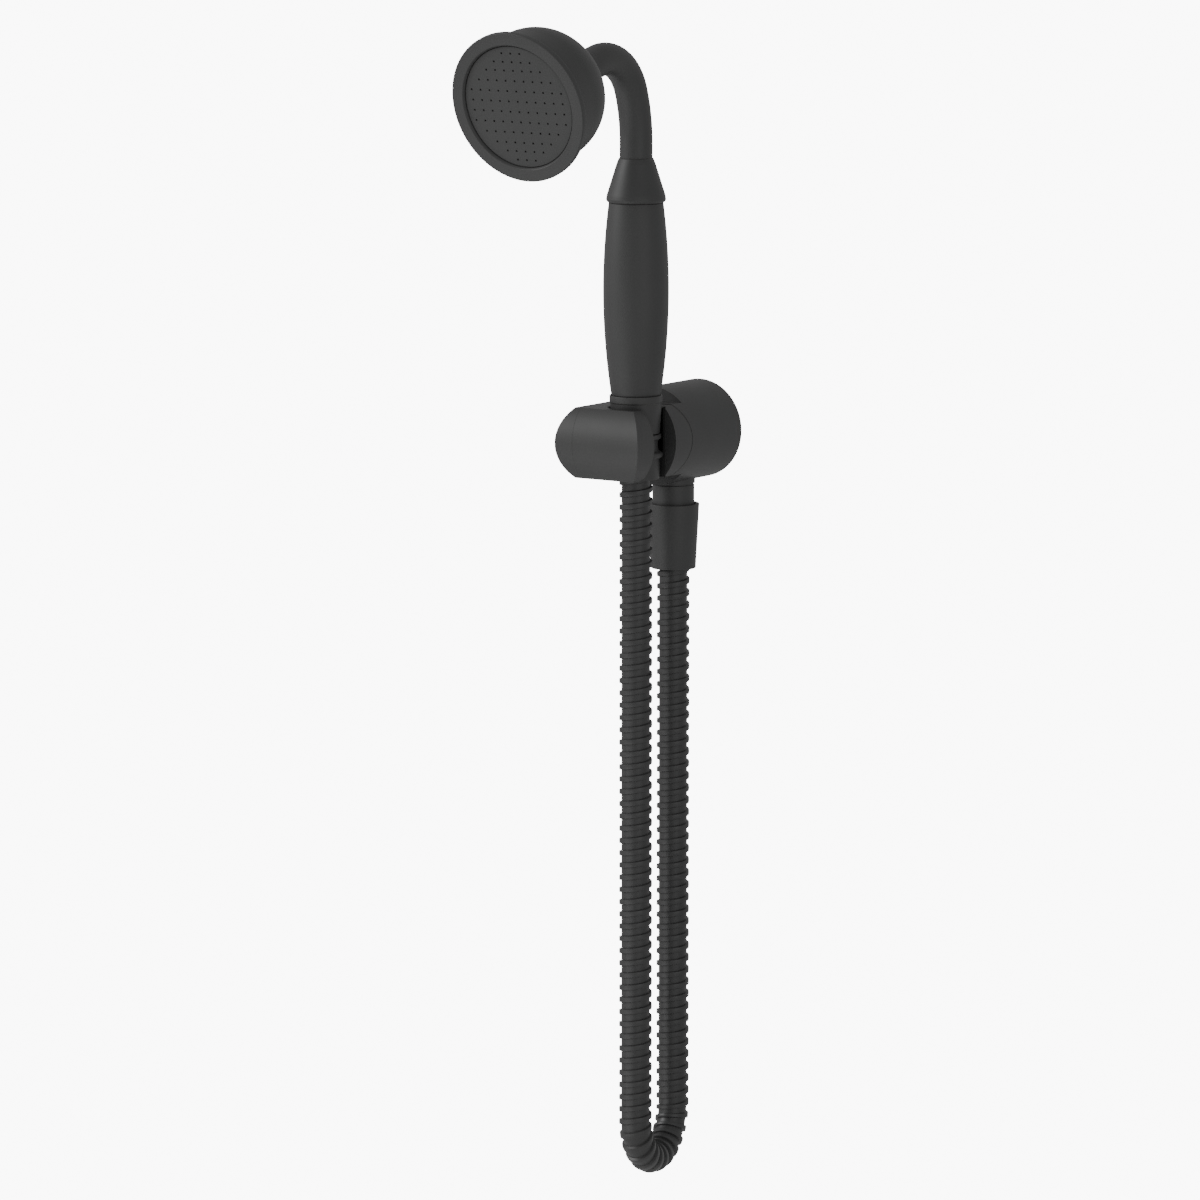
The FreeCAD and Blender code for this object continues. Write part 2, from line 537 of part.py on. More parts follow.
def hose_wire():
    """Centreline: straight runs joined by tangent arcs, with the radius of each arc printed."""
    points = [Vector(*point) for point in HOSE_POINTS]
    edges = []
    start = points[0]
    for before, here, after in zip(points, points[1:], points[2:]):
        back = before - here
        ahead = after - here
        turn = math.pi - back.getAngle(ahead)
        tangent = 0.45 * min(back.Length, ahead.Length)
        radius = tangent / math.tan(turn / 2)
        into = here + back.normalize() * tangent
        out = here + ahead.normalize() * tangent
        edges.append(Part.LineSegment(start, into).toShape())
        bulge = (back + ahead).normalize() * (radius / math.cos(turn / 2) - radius)
        edges.append(Part.Arc(into, here + bulge, out).toShape())
        print("hose turn %.1f degrees, radius %.1f mm" % (math.degrees(turn), radius))
        start = out
    edges.append(Part.LineSegment(start, points[-1]).toShape())
    return Part.Wire(edges)


def hose_tube(name, outer, inner):
    """Tube along the hose's centreline."""
    wire = hose_wire()
    start = Vector(*HOSE_POINTS[0])
    solids = []
    for radius in (value(outer), value(inner)):
        section = Part.Wire(Part.makeCircle(radius, start, Vector(0, 0, 1)))
        solids.append(wire.makePipeShell([section], True, True))
    item = doc.addObject("Part::Feature", name)
    item.Shape = solids[0].cut(solids[1])
    area = math.pi * (value(outer) ** 2 - value(inner) ** 2)
    print("%s: volume %.0f, section times length %.0f" % (name, item.Shape.Volume, area * wire.Length))
    return item


def make_hose():
    """Ribbed outer sheath and inner tube, both plain tubes."""
    hose_tube("hose_sheath", "hose_radius", "hose_bore")
    hose_tube("hose_inner_tube", "liner_tube_radius", "liner_tube_bore")
    return ["hose_sheath", "hose_inner_tube"]


def make_hose_end():
    """Swivel collar, insert and washer at the handset's end of the hose."""
    ring_low = "shelf_z - collar_bottom + gap"
    high = "collar_top - collar_bottom"
    waist = "swivel_radius + slip"
    turned("hose_end_collar", [
        ("hose_mouth", 0), ("collar_radius - edge", 0), ("collar_radius", "edge"),
        ("collar_radius", ring_low),
        ("collar_ring", ring_low), ("collar_ring", ring_low + " + ring_high"),
        ("collar_neck", ring_low + " + ring_high + 0.8"), ("collar_neck", high + " - 2.6"),
        ("collar_lip", high + " - 2"), ("collar_lip", high + " - edge"), ("collar_lip - edge", high),
        (waist, high), (waist, high + " - collar_floor"), ("hose_mouth", high + " - collar_floor")],
        at_handset("collar_bottom"))
    long = "end_length + end_flange"
    flange_z = "cone_bottom + cone_floor + 0.1"
    turned("hose_end_insert", [
        ("insert_bore", 0), ("insert_radius", 0), ("insert_radius", "end_barb"),
        ("swivel_radius", "end_barb + 0.6"), ("swivel_radius", "end_length"),
        ("flange_radius", "end_length"),
        ("flange_radius", long), ("insert_bore", long)], at_handset(flange_z + " - end_length"))
    ring("hose_end_washer", "washer_radius", "liner_tube_bore", "end_washer",
         at_handset(flange_z + " + end_flange"))
    return ["hose_end_collar", "hose_end_insert", "hose_end_washer"]


def make_handle():
    """Conical nut, barrel, water tube with its O-rings, and the flared collar."""
    lip_low = "cone_length - lip_high"
    hole = "swivel_radius + 0.2"
    turned("conical_nut", [
        (hole, 0), ("cone_low_radius - 0.4", 0), ("cone_low_radius", 0.4),
        ("cone_lip_radius - 0.15", lip_low + " - 0.1"), ("cone_lip_radius", lip_low),
        ("cone_lip_radius", "cone_length - gap"), ("cone_lip_radius - gap", "cone_length"),
        ("thread_bore", "cone_length"), ("thread_bore", "cone_floor"), (hole, "cone_floor")],
        at_handset("cone_bottom"))
    top = "barrel_length + stub_length"
    floor = "stub_length + stub_floor"
    stub_bore = "ring_bore + slip"
    turned("handle_barrel", [
        (stub_bore, 0), ("thread_radius", 0), ("thread_radius", "stub_length"),
        ("barrel_low_radius - gap", "stub_length"),
        ("barrel_low_radius", "stub_length + gap", "barrel_mid_radius", "barrel_length / 2 + stub_length"),
        ("barrel_top_radius", top), ("barrel_bore", top), ("barrel_bore", floor), (stub_bore, floor)],
        at_handset("barrel_bottom - stub_length"))
    barrel_top = "barrel_bottom + barrel_length"
    ring("handle_water_tube", "tube_radius", "tube_bore", "tube_low + barrel_length + tube_high",
         at_handset("barrel_bottom - tube_low"))
    seal = "tube_radius + o_ring_radius + 0.01"
    lower = bound("Torus", "o_ring_low", Radius1=seal, Radius2="o_ring_radius")
    place(lower, *at_handset("barrel_bottom - tube_low + 3"))
    upper = bound("Torus", "o_ring_high", Radius1=seal, Radius2="o_ring_radius")
    place(upper, *at_handset(barrel_top + " + tube_high - 2.5"))
    both = doc.addObject("Part::Compound", "handle_o_rings")
    both.Links = [lower, upper]
    plug = "barrel_bore - fit_gap"
    tip = "plug_length + flare_length"
    rest = "plug_length + neck_rest"
    turned("flared_collar", [
        ("ring_bore", 0), (plug, 0), (plug, "plug_length"),
        ("flare_radius - 0.7", "plug_length", "flare_radius", "plug_length + flare_lip / 2"),
        ("flare_radius - 0.7", "plug_length + flare_lip"), ("neck_radius + 0.7", tip + " - 1"),
        ("neck_radius + 0.5", tip), ("neck_radius + slip", tip), ("neck_radius + slip", rest),
        ("ring_bore", rest)], at_handset(barrel_top + " + 0.2 - plug_length"))
    return ["conical_nut", "handle_barrel", "handle_water_tube", "handle_o_rings", "flared_collar"]


def neck_run(tag, radius):
    """One solid rod along the gooseneck: straight, gentle bend, tight bend, straight."""
    low = "barrel_bottom + barrel_length + neck_rest + gap"
    rise = cylinder(tag + "_rise", radius, "neck_start - (%s)" % low, at_handset(low))
    bends = []
    centre_y = "-(reach + first_bend)"
    centre_z = "neck_start"
    for part, bend, start, end in (("first", "first_bend", "0", "first_turn"),
                                   ("second", "second_bend", "first_turn", "neck_turn")):
        if part == "second":
            centre_y = "-(reach + first_bend - (first_bend - second_bend) * cos(first_turn * 1deg))"
            centre_z = "neck_start + (first_bend - second_bend) * sin(first_turn * 1deg)"
        item = bound("Torus", "%s_%s" % (tag, part), Radius1=bend, Radius2=radius,
                     Angle3="(%s) - (%s)" % (end, start))
        lie = Rotation(Vector(0, 1, 0), Vector(0, 0, 1), Vector(1, 0, 0))
        item.Placement = Placement(Vector(), Rotation(Vector(1, 0, 0), value(start)).multiply(lie))
        item.setExpression(".Placement.Base.x", ref("handset_x * 1mm"))
        item.setExpression(".Placement.Base.y", ref("(%s) * 1mm" % centre_y))
        item.setExpression(".Placement.Base.z", ref("(%s) * 1mm" % centre_z))
        bends.append(item)
    tail = cylinder(tag + "_tail", radius, "neck_tail", at_head("socket_depth - neck_insert"))
    return fuse(tag, rise, *bends, tail)


def make_gooseneck():
    """Bent tube from the flared collar to the head."""
    cut("gooseneck", neck_run("neck_rod", "neck_radius"), neck_run("neck_hole", "neck_bore"))
    return ["gooseneck"]


def make_head():
    """Head shell with its socket, the parts inside it and the screw that locks it."""
    centre = "wall_radius - dome_radius"
    diagonal = "sqrt(0.5)"
    inner = "dome_radius - shell"
    socket_bore = "neck_radius + slip"
    back = "wall_depth + dome_radius"
    shell = turned("head_shell", [
        ("recess_radius", 0), ("rim_radius - edge", 0), ("rim_radius", "edge"),
        ("rim_radius", "rim_thick - edge"), ("rim_radius - edge", "rim_thick"),
        ("wall_radius + 0.4", "rim_thick"), ("wall_radius", "rim_thick + 0.4"),
        ("wall_radius", "wall_depth", "%s + dome_radius * %s" % (centre, diagonal),
         "wall_depth + dome_radius * %s" % diagonal),
        (centre, back), (centre, back + " - shell"),
        (centre + " - 1", back + " - shell"), (centre + " - 1", back + " - shell - 0.1"),
        (centre, back + " - shell - 0.1", "%s + (%s) * %s" % (centre, inner, diagonal),
         "wall_depth + (%s - 0.1) * %s" % (inner, diagonal)),
        ("wall_radius - shell", "wall_depth"), ("wall_radius - shell", "recess_depth + plate_thick + 2"),
        ("recess_radius", "recess_depth + plate_thick + 2")], at_head(0))
    socket_high = "socket_length + shell + 0.5"
    socket = turned("head_socket", [
        (socket_bore, 0), ("socket_radius + 3", 0), ("socket_radius", 3), ("socket_radius", socket_high),
        (socket_bore, socket_high)], at_head(back + " - shell - 0.5"))
    joined = fuse("head_solid", shell, socket)
    way = cylinder("head_way", "neck_bore", "socket_depth", at_head("wall_depth"))
    bore = cylinder("head_bore", socket_bore, "neck_insert + 1", at_head("socket_depth - neck_insert - 0.1"))
    cut("head_body", joined, bore, way)
    return ["head_body"]


def jet_places():
    """Centre of every spray hole, across and up from the middle of the plate."""
    pitch = value("jet_pitch")
    heights = [pitch * (number + 0.5) for number in range(4)]
    for _ in range(2):
        heights.append(heights[-1] + value("outer_pitch"))
    for count, height in zip(JETS_PER_ROW, heights):
        for sign in (1, -1):
            for column in range(count):
                yield pitch * (column - (count - 1) / 2.0), sign * height


def make_spray_face():
    """Spray plate with its holes, and the seal and regulator behind it."""
    blank = ring("plate_blank", "plate_radius", "0", "plate_thick", at_head("recess_depth"))
    holes = []
    for x, up in jet_places():
        holes.append(Part.makeCylinder(value("jet_radius"), 3 * value("plate_thick"),
                                       Vector(x, up, -value("plate_thick"))))
    field = doc.addObject("Part::Feature", "jets")
    field.Shape = Part.Compound(holes)
    field.Placement = Placement(Vector(), Rotation(Vector(-1, 0, 0), value("180 - neck_turn")))
    for axis, text in zip("xyz", at_head("recess_depth")[:3]):
        field.setExpression(".Placement.Base.%s" % axis, ref("(%s) * 1mm" % text))
    cut("spray_plate", blank, field)
    behind = "recess_depth + plate_thick"
    seal = bound("Torus", "plate_seal", Radius1="plate_radius - 1", Radius2="seal_radius")
    place(seal, *at_head(behind + " + 1"))
    return ["spray_plate", "plate_seal"]


def build():
    """Make every sub-part and return the names of the nodes."""
    nodes = [make_wall_body()]
    for make in (make_wall_seals, make_outlet, make_valve_spring, make_tilt_screw, make_cradle,
                 make_outlet_nut, make_hose, make_hose_end, make_handle, make_gooseneck, make_head,
                 make_spray_face):
        nodes.extend(make())
    return nodes


def export(nodes):
    """Check every object and sub-part, then write one STEP file for each node."""
    doc.recompute()
    for item in doc.Objects:
        if "Invalid" in item.State or "Error" in item.State:
            raise RuntimeError("%s failed: %s" % (item.Name, item.State))
    os.makedirs("parts", exist_ok=True)
    for name in nodes:
        item = doc.getObject(name)
        item.Label = name
        if item.Shape.isNull() or not item.Shape.isValid():
            raise RuntimeError("%s has no valid shape" % name)
    for name in nodes:
        doc.getObject(name).Shape.exportStep("parts/%s.step" % name)
    print("wrote %d parts" % len(nodes))


export(build())
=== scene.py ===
"""Black handheld shower head parked in a tilting wall cradle, with its outlet elbow and ribbed hose.

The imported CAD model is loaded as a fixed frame. Each class below builds the visible meshes of one
sub-assembly from the frame's boxes and its own sizes, in metres, and dresses them in one of the finishes.
"""
from __future__ import annotations

import json
import logging
import math
from dataclasses import dataclass
from enum import Enum
from typing import Any, Iterable, Sequence

import bmesh
import bpy
from mathutils import Matrix, Vector

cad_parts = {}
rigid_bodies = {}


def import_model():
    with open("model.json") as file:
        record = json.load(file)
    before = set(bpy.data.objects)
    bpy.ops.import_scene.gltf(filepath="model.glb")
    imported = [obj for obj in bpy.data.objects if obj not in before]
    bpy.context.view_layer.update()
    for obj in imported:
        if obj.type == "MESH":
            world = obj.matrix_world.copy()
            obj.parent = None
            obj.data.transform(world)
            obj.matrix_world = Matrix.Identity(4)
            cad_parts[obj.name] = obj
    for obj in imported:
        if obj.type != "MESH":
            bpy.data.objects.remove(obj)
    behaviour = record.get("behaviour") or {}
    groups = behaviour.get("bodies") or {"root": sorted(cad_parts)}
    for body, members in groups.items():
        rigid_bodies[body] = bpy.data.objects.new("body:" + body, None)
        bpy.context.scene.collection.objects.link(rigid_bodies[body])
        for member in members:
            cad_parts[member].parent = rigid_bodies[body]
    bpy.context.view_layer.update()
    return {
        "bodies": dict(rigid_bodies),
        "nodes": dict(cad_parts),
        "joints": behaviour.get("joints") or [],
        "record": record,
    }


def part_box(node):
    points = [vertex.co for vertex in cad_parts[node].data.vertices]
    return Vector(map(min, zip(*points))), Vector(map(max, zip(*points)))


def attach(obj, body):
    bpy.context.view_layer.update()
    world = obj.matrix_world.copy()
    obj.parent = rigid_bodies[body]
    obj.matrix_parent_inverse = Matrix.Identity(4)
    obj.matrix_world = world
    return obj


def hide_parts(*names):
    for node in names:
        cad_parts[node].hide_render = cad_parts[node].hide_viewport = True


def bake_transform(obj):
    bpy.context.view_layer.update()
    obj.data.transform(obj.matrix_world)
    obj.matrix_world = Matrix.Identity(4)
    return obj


LOG = logging.getLogger("shower_head")
MM = 0.001
Point = tuple[float, float]


# ---------------------------------------------------------------- places taken from the frame


@dataclass(frozen=True)
class Box:
    """Lowest and highest corner of a CAD node."""

    low: Vector
    high: Vector

    @classmethod
    def of(cls, node: str) -> "Box":
        """Return the box of a CAD node at rest."""
        low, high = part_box(node)
        return cls(Vector(low), Vector(high))

    @property
    def centre(self) -> Vector:
        """Middle of the box."""
        return (self.low + self.high) / 2

    @property
    def size(self) -> Vector:
        """Length of each side."""
        return self.high - self.low


@dataclass(frozen=True)
class Axis:
    """Where a turned piece stands: its foot and the direction that its heights run in."""

    foot: Vector
    along: Vector

    def matrix(self) -> Matrix:
        """Return the matrix that takes local z to this axis, keeping local x level."""
        z = self.along.normalized()
        x = Vector((1.0, 0.0, 0.0))
        y = z.cross(x).normalized()
        x = y.cross(z)
        turn = Matrix((x, y, z)).transposed().to_4x4()
        return Matrix.Translation(self.foot) @ turn


# ---------------------------------------------------------------- node trees


class Nodes:
    """Short way to write a node tree, for shaders and for geometry alike."""

    def __init__(self, tree: bpy.types.NodeTree) -> None:
        """Wrap a tree."""
        self.tree = tree

    def add(self, kind: str, *inputs: Any, **settings: Any) -> bpy.types.Node:
        """Add a node, set its properties and fill its inputs in order.

        Args:
            kind: Blender's name for the node type.
            inputs: a value or a socket for each input, with None to leave one as it is.
            settings: properties of the node.

        Returns:
            The new node.
        """
        node = self.tree.nodes.new(kind)
        for key, setting in settings.items():
            setattr(node, key, setting)
        for number, item in enumerate(inputs):
            self.feed(node.inputs[number], item)
        return node

    def feed(self, socket: bpy.types.NodeSocket, item: Any) -> None:
        """Link a socket to an input, or set the input's own value."""
        if item is None:
            return
        if isinstance(item, bpy.types.NodeSocket):
            self.tree.links.new(item, socket)
        else:
            socket.default_value = item

    def math(self, operation: str, *inputs: Any) -> bpy.types.NodeSocket:
        """Return the result of a Math node."""
        return self.add("ShaderNodeMath", *inputs, operation=operation).outputs[0]

    def vector(self, operation: str, *inputs: Any) -> bpy.types.NodeSocket:
        """Return the result of a Vector Math node."""
        node = self.add("ShaderNodeVectorMath", operation=operation)
        names = {"SCALE": (0, 3)}.get(operation, (0, 1, 2))
        for number, item in zip(names, inputs):
            self.feed(node.inputs[number], item)
        return node.outputs["Value" if operation in {"DOT_PRODUCT", "LENGTH"} else "Vector"]

    def socket(self, name: str, kind: str, out: bool = False, default: Any = None) -> None:
        """Add a named input or output to the tree's interface."""
        direction = "OUTPUT" if out else "INPUT"
        item = self.tree.interface.new_socket(name, in_out=direction, socket_type=kind)
        if default is not None:
            item.default_value = default


# ---------------------------------------------------------------- finishes


class Effect(Enum):
    """Shader node groups that several finishes share."""

    GRAIN = "Coat grain"
    HANDLING = "Handling marks"


def grain_group() -> bpy.types.NodeTree:
    """Return the group that gives a coat its fine grain: height, and a mask for tint and gloss."""
    found = bpy.data.node_groups.get(Effect.GRAIN.value)
    if found:
        return found
    nodes = Nodes(bpy.data.node_groups.new(Effect.GRAIN.value, "ShaderNodeTree"))
    nodes.socket("Grains per metre", "NodeSocketFloat", default=1500.0)
    nodes.socket("Blotches per metre", "NodeSocketFloat", default=60.0)
    nodes.socket("Height", "NodeSocketFloat", out=True)
    nodes.socket("Mask", "NodeSocketFloat", out=True)
    given = nodes.add("NodeGroupInput")
    place = nodes.add("ShaderNodeTexCoord").outputs["Object"]
    fine = nodes.add("ShaderNodeTexNoise", place)
    nodes.feed(fine.inputs["Scale"], given.outputs[0])
    nodes.feed(fine.inputs["Detail"], 3.0)
    peel = nodes.add("ShaderNodeTexVoronoi", place, feature="SMOOTH_F1")
    nodes.feed(peel.inputs["Scale"], nodes.math("MULTIPLY", given.outputs[0], 0.45))
    broad = nodes.add("ShaderNodeTexNoise", place)
    nodes.feed(broad.inputs["Scale"], given.outputs[1])
    height = nodes.math("ADD", nodes.math("MULTIPLY", fine.outputs[0], 0.6),
                        nodes.math("MULTIPLY", peel.outputs["Distance"], 0.5))
    mask = nodes.math("ADD", nodes.math("MULTIPLY", fine.outputs[0], 0.55),
                      nodes.math("MULTIPLY", broad.outputs[0], 0.45))
    nodes.add("NodeGroupOutput", height, mask)
    return nodes.tree


def handling_group() -> bpy.types.NodeTree:
    """Return the group that gives soft, uneven marks of cleaning and of wet hands."""
    found = bpy.data.node_groups.get(Effect.HANDLING.value)
    if found:
        return found
    nodes = Nodes(bpy.data.node_groups.new(Effect.HANDLING.value, "ShaderNodeTree"))
    nodes.socket("Marks per metre", "NodeSocketFloat", default=35.0)
    nodes.socket("Roughness", "NodeSocketFloat", default=0.5)
    nodes.socket("Spread", "NodeSocketFloat", default=0.08)
    nodes.socket("Roughness", "NodeSocketFloat", out=True)
    given = nodes.add("NodeGroupInput")
    place = nodes.add("ShaderNodeTexCoord").outputs["Object"]
    marks = nodes.add("ShaderNodeTexNoise", place)
    nodes.feed(marks.inputs["Scale"], given.outputs[0])
    nodes.feed(marks.inputs["Detail"], 5.0)
    nodes.feed(marks.inputs["Distortion"], 0.6)
    swing = nodes.math("SUBTRACT", marks.outputs[0], 0.5)
    rough = nodes.math("MULTIPLY_ADD", swing, nodes.math("MULTIPLY", given.outputs[2], 2.0), given.outputs[1])
    nodes.add("NodeGroupOutput", nodes.math("MAXIMUM", rough, 0.05))
    return nodes.tree


@dataclass(frozen=True)
class Finish:
    """A surface finish: two tones mixed by its grain, its gloss and the depth of its grain."""

    name: str
    dark: tuple[float, float, float]
    light: tuple[float, float, float]
    roughness: float
    spread: float = 0.06
    metallic: float = 0.0
    specular: float = 0.5
    grains: float = 1500.0
    blotches: float = 60.0
    grain_height: float = 0.00002
    coat: float = 0.0

    def material(self) -> bpy.types.Material:
        """Return this finish's material, built the first time that it is asked for."""
        found = bpy.data.materials.get(self.name)
        if found:
            return found
        made = bpy.data.materials.new(self.name)
        made.use_nodes = True
        nodes = Nodes(made.node_tree)
        shader = made.node_tree.nodes["Principled BSDF"]
        grain = nodes.add("ShaderNodeGroup", node_tree=grain_group())
        grain.inputs[0].default_value = self.grains
        grain.inputs[1].default_value = self.blotches
        handling = nodes.add("ShaderNodeGroup", node_tree=handling_group())
        handling.inputs[1].default_value = self.roughness
        handling.inputs[2].default_value = self.spread
        tone = nodes.add("ShaderNodeMix", data_type="RGBA")
        nodes.feed(tone.inputs[0], grain.outputs["Mask"])
        nodes.feed(tone.inputs[6], (*self.dark, 1.0))
        nodes.feed(tone.inputs[7], (*self.light, 1.0))
        bump = nodes.add("ShaderNodeBump")
        nodes.feed(bump.inputs["Height"], grain.outputs["Height"])
        bump.inputs["Strength"].default_value = 0.6
        bump.inputs["Distance"].default_value = self.grain_height
        nodes.feed(shader.inputs["Base Color"], tone.outputs[2])
        nodes.feed(shader.inputs["Roughness"], handling.outputs[0])
        nodes.feed(shader.inputs["Normal"], bump.outputs[0])
        shader.inputs["Metallic"].default_value = self.metallic
        shader.inputs["Specular IOR Level"].default_value = self.specular
        shader.inputs["Coat Weight"].default_value = self.coat
        return made


POWDER_BLACK = Finish("powder_black", (0.030, 0.030, 0.030), (0.044, 0.044, 0.044), 0.52)
SPRAY_BLACK = Finish("spray_black", (0.033, 0.033, 0.033), (0.045, 0.045, 0.045), 0.58, grains=2200.0)
HOSE_BLACK = Finish("hose_black", (0.026, 0.026, 0.026), (0.040, 0.040, 0.040), 0.42, grains=1800.0)
RUBBER = Finish("black_rubber", (0.012, 0.012, 0.012), (0.022, 0.022, 0.022), 0.75, grains=900.0)
PLASTIC = Finish("black_plastic", (0.020, 0.020, 0.020), (0.030, 0.030, 0.030), 0.48, grains=1100.0)
STEEL = Finish("stainless", (0.52, 0.52, 0.53), (0.66, 0.66, 0.67), 0.30, metallic=1.0, grains=700.0)
BRASS = Finish("turned_brass", (0.62, 0.46, 0.20), (0.78, 0.60, 0.30), 0.28, metallic=1.0, grains=600.0)


# ---------------------------------------------------------------- mesh tools


@dataclass(frozen=True)
class Corner:
    """One corner of a turned outline: radius, height, and how far it is rounded."""

    r: float
    z: float
    soft: float = 0.0


def arc(centre: Point, radius: float, start: float, end: float, steps: int) -> list[Corner]:
    """Return corners along an arc, between two angles in degrees measured from the r direction."""
    made = []
    for number in range(steps + 1):
        angle = math.radians(start + (end - start) * number / steps)
        made.append(Corner(centre[0] + radius * math.cos(angle), centre[1] + radius * math.sin(angle)))
    return made


def bow(first: Point, middle: Point, last: Point, steps: int) -> list[Corner]:
    """Return corners along the circular arc through three points."""
    ax, ay = first
    bx, by = middle
    cx, cy = last
    double = 2 * (ax * (by - cy) + bx * (cy - ay) + cx * (ay - by))
    a2, b2, c2 = ax * ax + ay * ay, bx * bx + by * by, cx * cx + cy * cy
    ux = (a2 * (by - cy) + b2 * (cy - ay) + c2 * (ay - by)) / double
    uy = (a2 * (cx - bx) + b2 * (ax - cx) + c2 * (bx - ax)) / double
    start = math.degrees(math.atan2(ay - uy, ax - ux))
    end = math.degrees(math.atan2(cy - uy, cx - ux))
    return arc((ux, uy), math.dist(first, (ux, uy)), start, end, steps)


def rounded(corners: Sequence[Corner], steps: int = 4) -> list[Point]:
    """Return a closed outline with each soft corner turned into a small arc.

    Args:
        corners: the outline, in order.
        steps: edges in each rounded corner.

    Returns:
        Points (radius, height) of the outline.
    """
    outline: list[Point] = []
    for number, here in enumerate(corners):
        at = Vector((here.r, here.z))
        if here.soft <= 0.0:
            outline.append((at.x, at.y))
            continue
        before, after = corners[number - 1], corners[(number + 1) % len(corners)]
        back = (Vector((before.r, before.z)) - at)
        ahead = (Vector((after.r, after.z)) - at)
        reach = min(here.soft, 0.45 * back.length, 0.45 * ahead.length)
        first, last = at + back.normalized() * reach, at + ahead.normalized() * reach
        for step in range(steps + 1):
            t = step / steps
            spot = first * (1 - t) ** 2 + at * (2 * t * (1 - t)) + last * t ** 2
            outline.append((spot.x, spot.y))
    return outline


def finished(name: str, mesh: bmesh.types.BMesh, finish: Finish, crease: float = 35.0,
             merge: float = 1e-7) -> bpy.types.Object:
    """Turn a bmesh into a smooth, closed, dressed object at the origin.

    Args:
        name: the piece's name.
        mesh: the shape, which is freed.
        finish: what it is dressed in.
        crease: degrees between faces past which an edge stays sharp.
        merge: distance under which corners are joined.

    Returns:
        The new object.
    """
    bmesh.ops.remove_doubles(mesh, verts=mesh.verts, dist=merge)
    bmesh.ops.dissolve_degenerate(mesh, edges=mesh.edges, dist=merge)
    bmesh.ops.recalc_face_normals(mesh, faces=mesh.faces)
    data = bpy.data.meshes.new(name)
    mesh.to_mesh(data)
    mesh.free()
    data.shade_smooth()
    data.set_sharp_from_angle(angle=math.radians(crease))
    data.materials.append(finish.material())
    piece = bpy.data.objects.new(name, data)
    bpy.context.scene.collection.objects.link(piece)
    return piece


def turned(name: str, corners: Sequence[Corner], axis: Axis, finish: Finish, sides: int = 160,
           steps: int = 4) -> bpy.types.Object:
    """Turn a closed outline about an axis.

    Args:
        name: the piece's name.
        corners: the outline, heights measured along the axis from its foot.
        axis: where the piece stands.
        finish: what it is dressed in.
        sides: steps round the axis.
        steps: edges in each rounded corner.

    Returns:
        The new object.
    """
    outline = rounded(corners, steps)
    mesh = bmesh.new()
    rings = []
    for number in range(sides):
        angle = 2 * math.pi * number / sides
        ring = [mesh.verts.new((r * math.cos(angle), r * math.sin(angle), z)) for r, z in outline]
        rings.append(ring)
    for number, ring in enumerate(rings):
        following = rings[(number + 1) % sides]
        for step in range(len(outline)):
            ahead = (step + 1) % len(outline)
            if outline[step][0] < 1e-9 and outline[ahead][0] < 1e-9:
                continue
            mesh.faces.new((ring[step], following[step], following[ahead], ring[ahead]))
    mesh.transform(axis.matrix())
    return finished(name, mesh, finish)


def swept(name: str, path: Sequence[Vector], sides_at: Sequence[float], finish: Finish,
          sides: int = 96) -> bpy.types.Object:
    """Sweep a circle along a path that lies in a plane of constant x, and close its ends.

    Args:
        name: the piece's name.
        path: the centreline.
        sides_at: the radius at each point of the path.
        finish: what it is dressed in.
        sides: steps round the circle.

    Returns:
        The new object.
    """
    mesh = bmesh.new()
    across = Vector((1.0, 0.0, 0.0))
    rings = []
    for number, here in enumerate(path):
        before, after = path[max(number - 1, 0)], path[min(number + 1, len(path) - 1)]
        along = (after - before).normalized()
        up = along.cross(across)
        ring = []
        for side in range(sides):
            angle = 2 * math.pi * side / sides
            offset = across * math.cos(angle) + up * math.sin(angle)
            ring.append(mesh.verts.new(here + offset * sides_at[number]))
        rings.append(ring)
    for first, second in zip(rings, rings[1:]):
        for side in range(sides):
            ahead = (side + 1) % sides
            mesh.faces.new((first[side], first[ahead], second[ahead], second[side]))
    mesh.faces.new(rings[0])
    mesh.faces.new(rings[-1])
    return finished(name, mesh, finish)


def weighted(piece: bpy.types.Object) -> bpy.types.Object:
    """Let the large faces of a piece rule its shading, so that its flats stay flat."""
    modifier = piece.modifiers.new("normals", "WEIGHTED_NORMAL")
    modifier.keep_sharp = True
    bpy.context.view_layer.update()
    view = piece.evaluated_get(bpy.context.evaluated_depsgraph_get())
    data = bpy.data.meshes.new_from_object(view)
    piece.modifiers.remove(modifier)
    data.name = piece.name
    piece.data = data
    return piece


def machined_copy(node: str, frame: dict[str, Any], name: str, finish: Finish,
                  edge: float = 0.25 * MM) -> bpy.types.Object:
    """Copy a CAD node's surface, join its loose triangles and soften its edges.

    Args:
        node: the CAD node.
        name: the new piece's name.
        finish: what it is dressed in.
        edge: width of the softened edge.

    Returns:
        The new object, which stands for the node.
    """
    mesh = bmesh.new()
    mesh.from_mesh(frame["nodes"][node].data)
    bmesh.ops.remove_doubles(mesh, verts=mesh.verts, dist=1e-6)
    flat, corner = math.radians(0.2), math.radians(24.0)
    bmesh.ops.dissolve_limit(mesh, angle_limit=flat, verts=mesh.verts, edges=mesh.edges)
    sharp = [item for item in mesh.edges if item.is_manifold and item.calc_face_angle(0.0) > corner]
    bmesh.ops.bevel(mesh, geom=sharp, offset=edge, offset_type="OFFSET", segments=2, profile=0.5,
                    affect="EDGES", clamp_overlap=True)
    piece = weighted(finished(name, mesh, finish, crease=50.0, merge=1e-8))
    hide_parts(node)
    return piece


def seat(piece: bpy.types.Object, body: str, slot: str, *nodes: str) -> bpy.types.Object:
    """Let a piece ride on its body and hide the CAD nodes that it stands for."""
    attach(piece, body)
    if nodes:
        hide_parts(*nodes)
    LOG.info("%s: %d faces, on %s", piece.name, len(piece.data.polygons), body)
    return piece


# ---------------------------------------------------------------- geometry trees


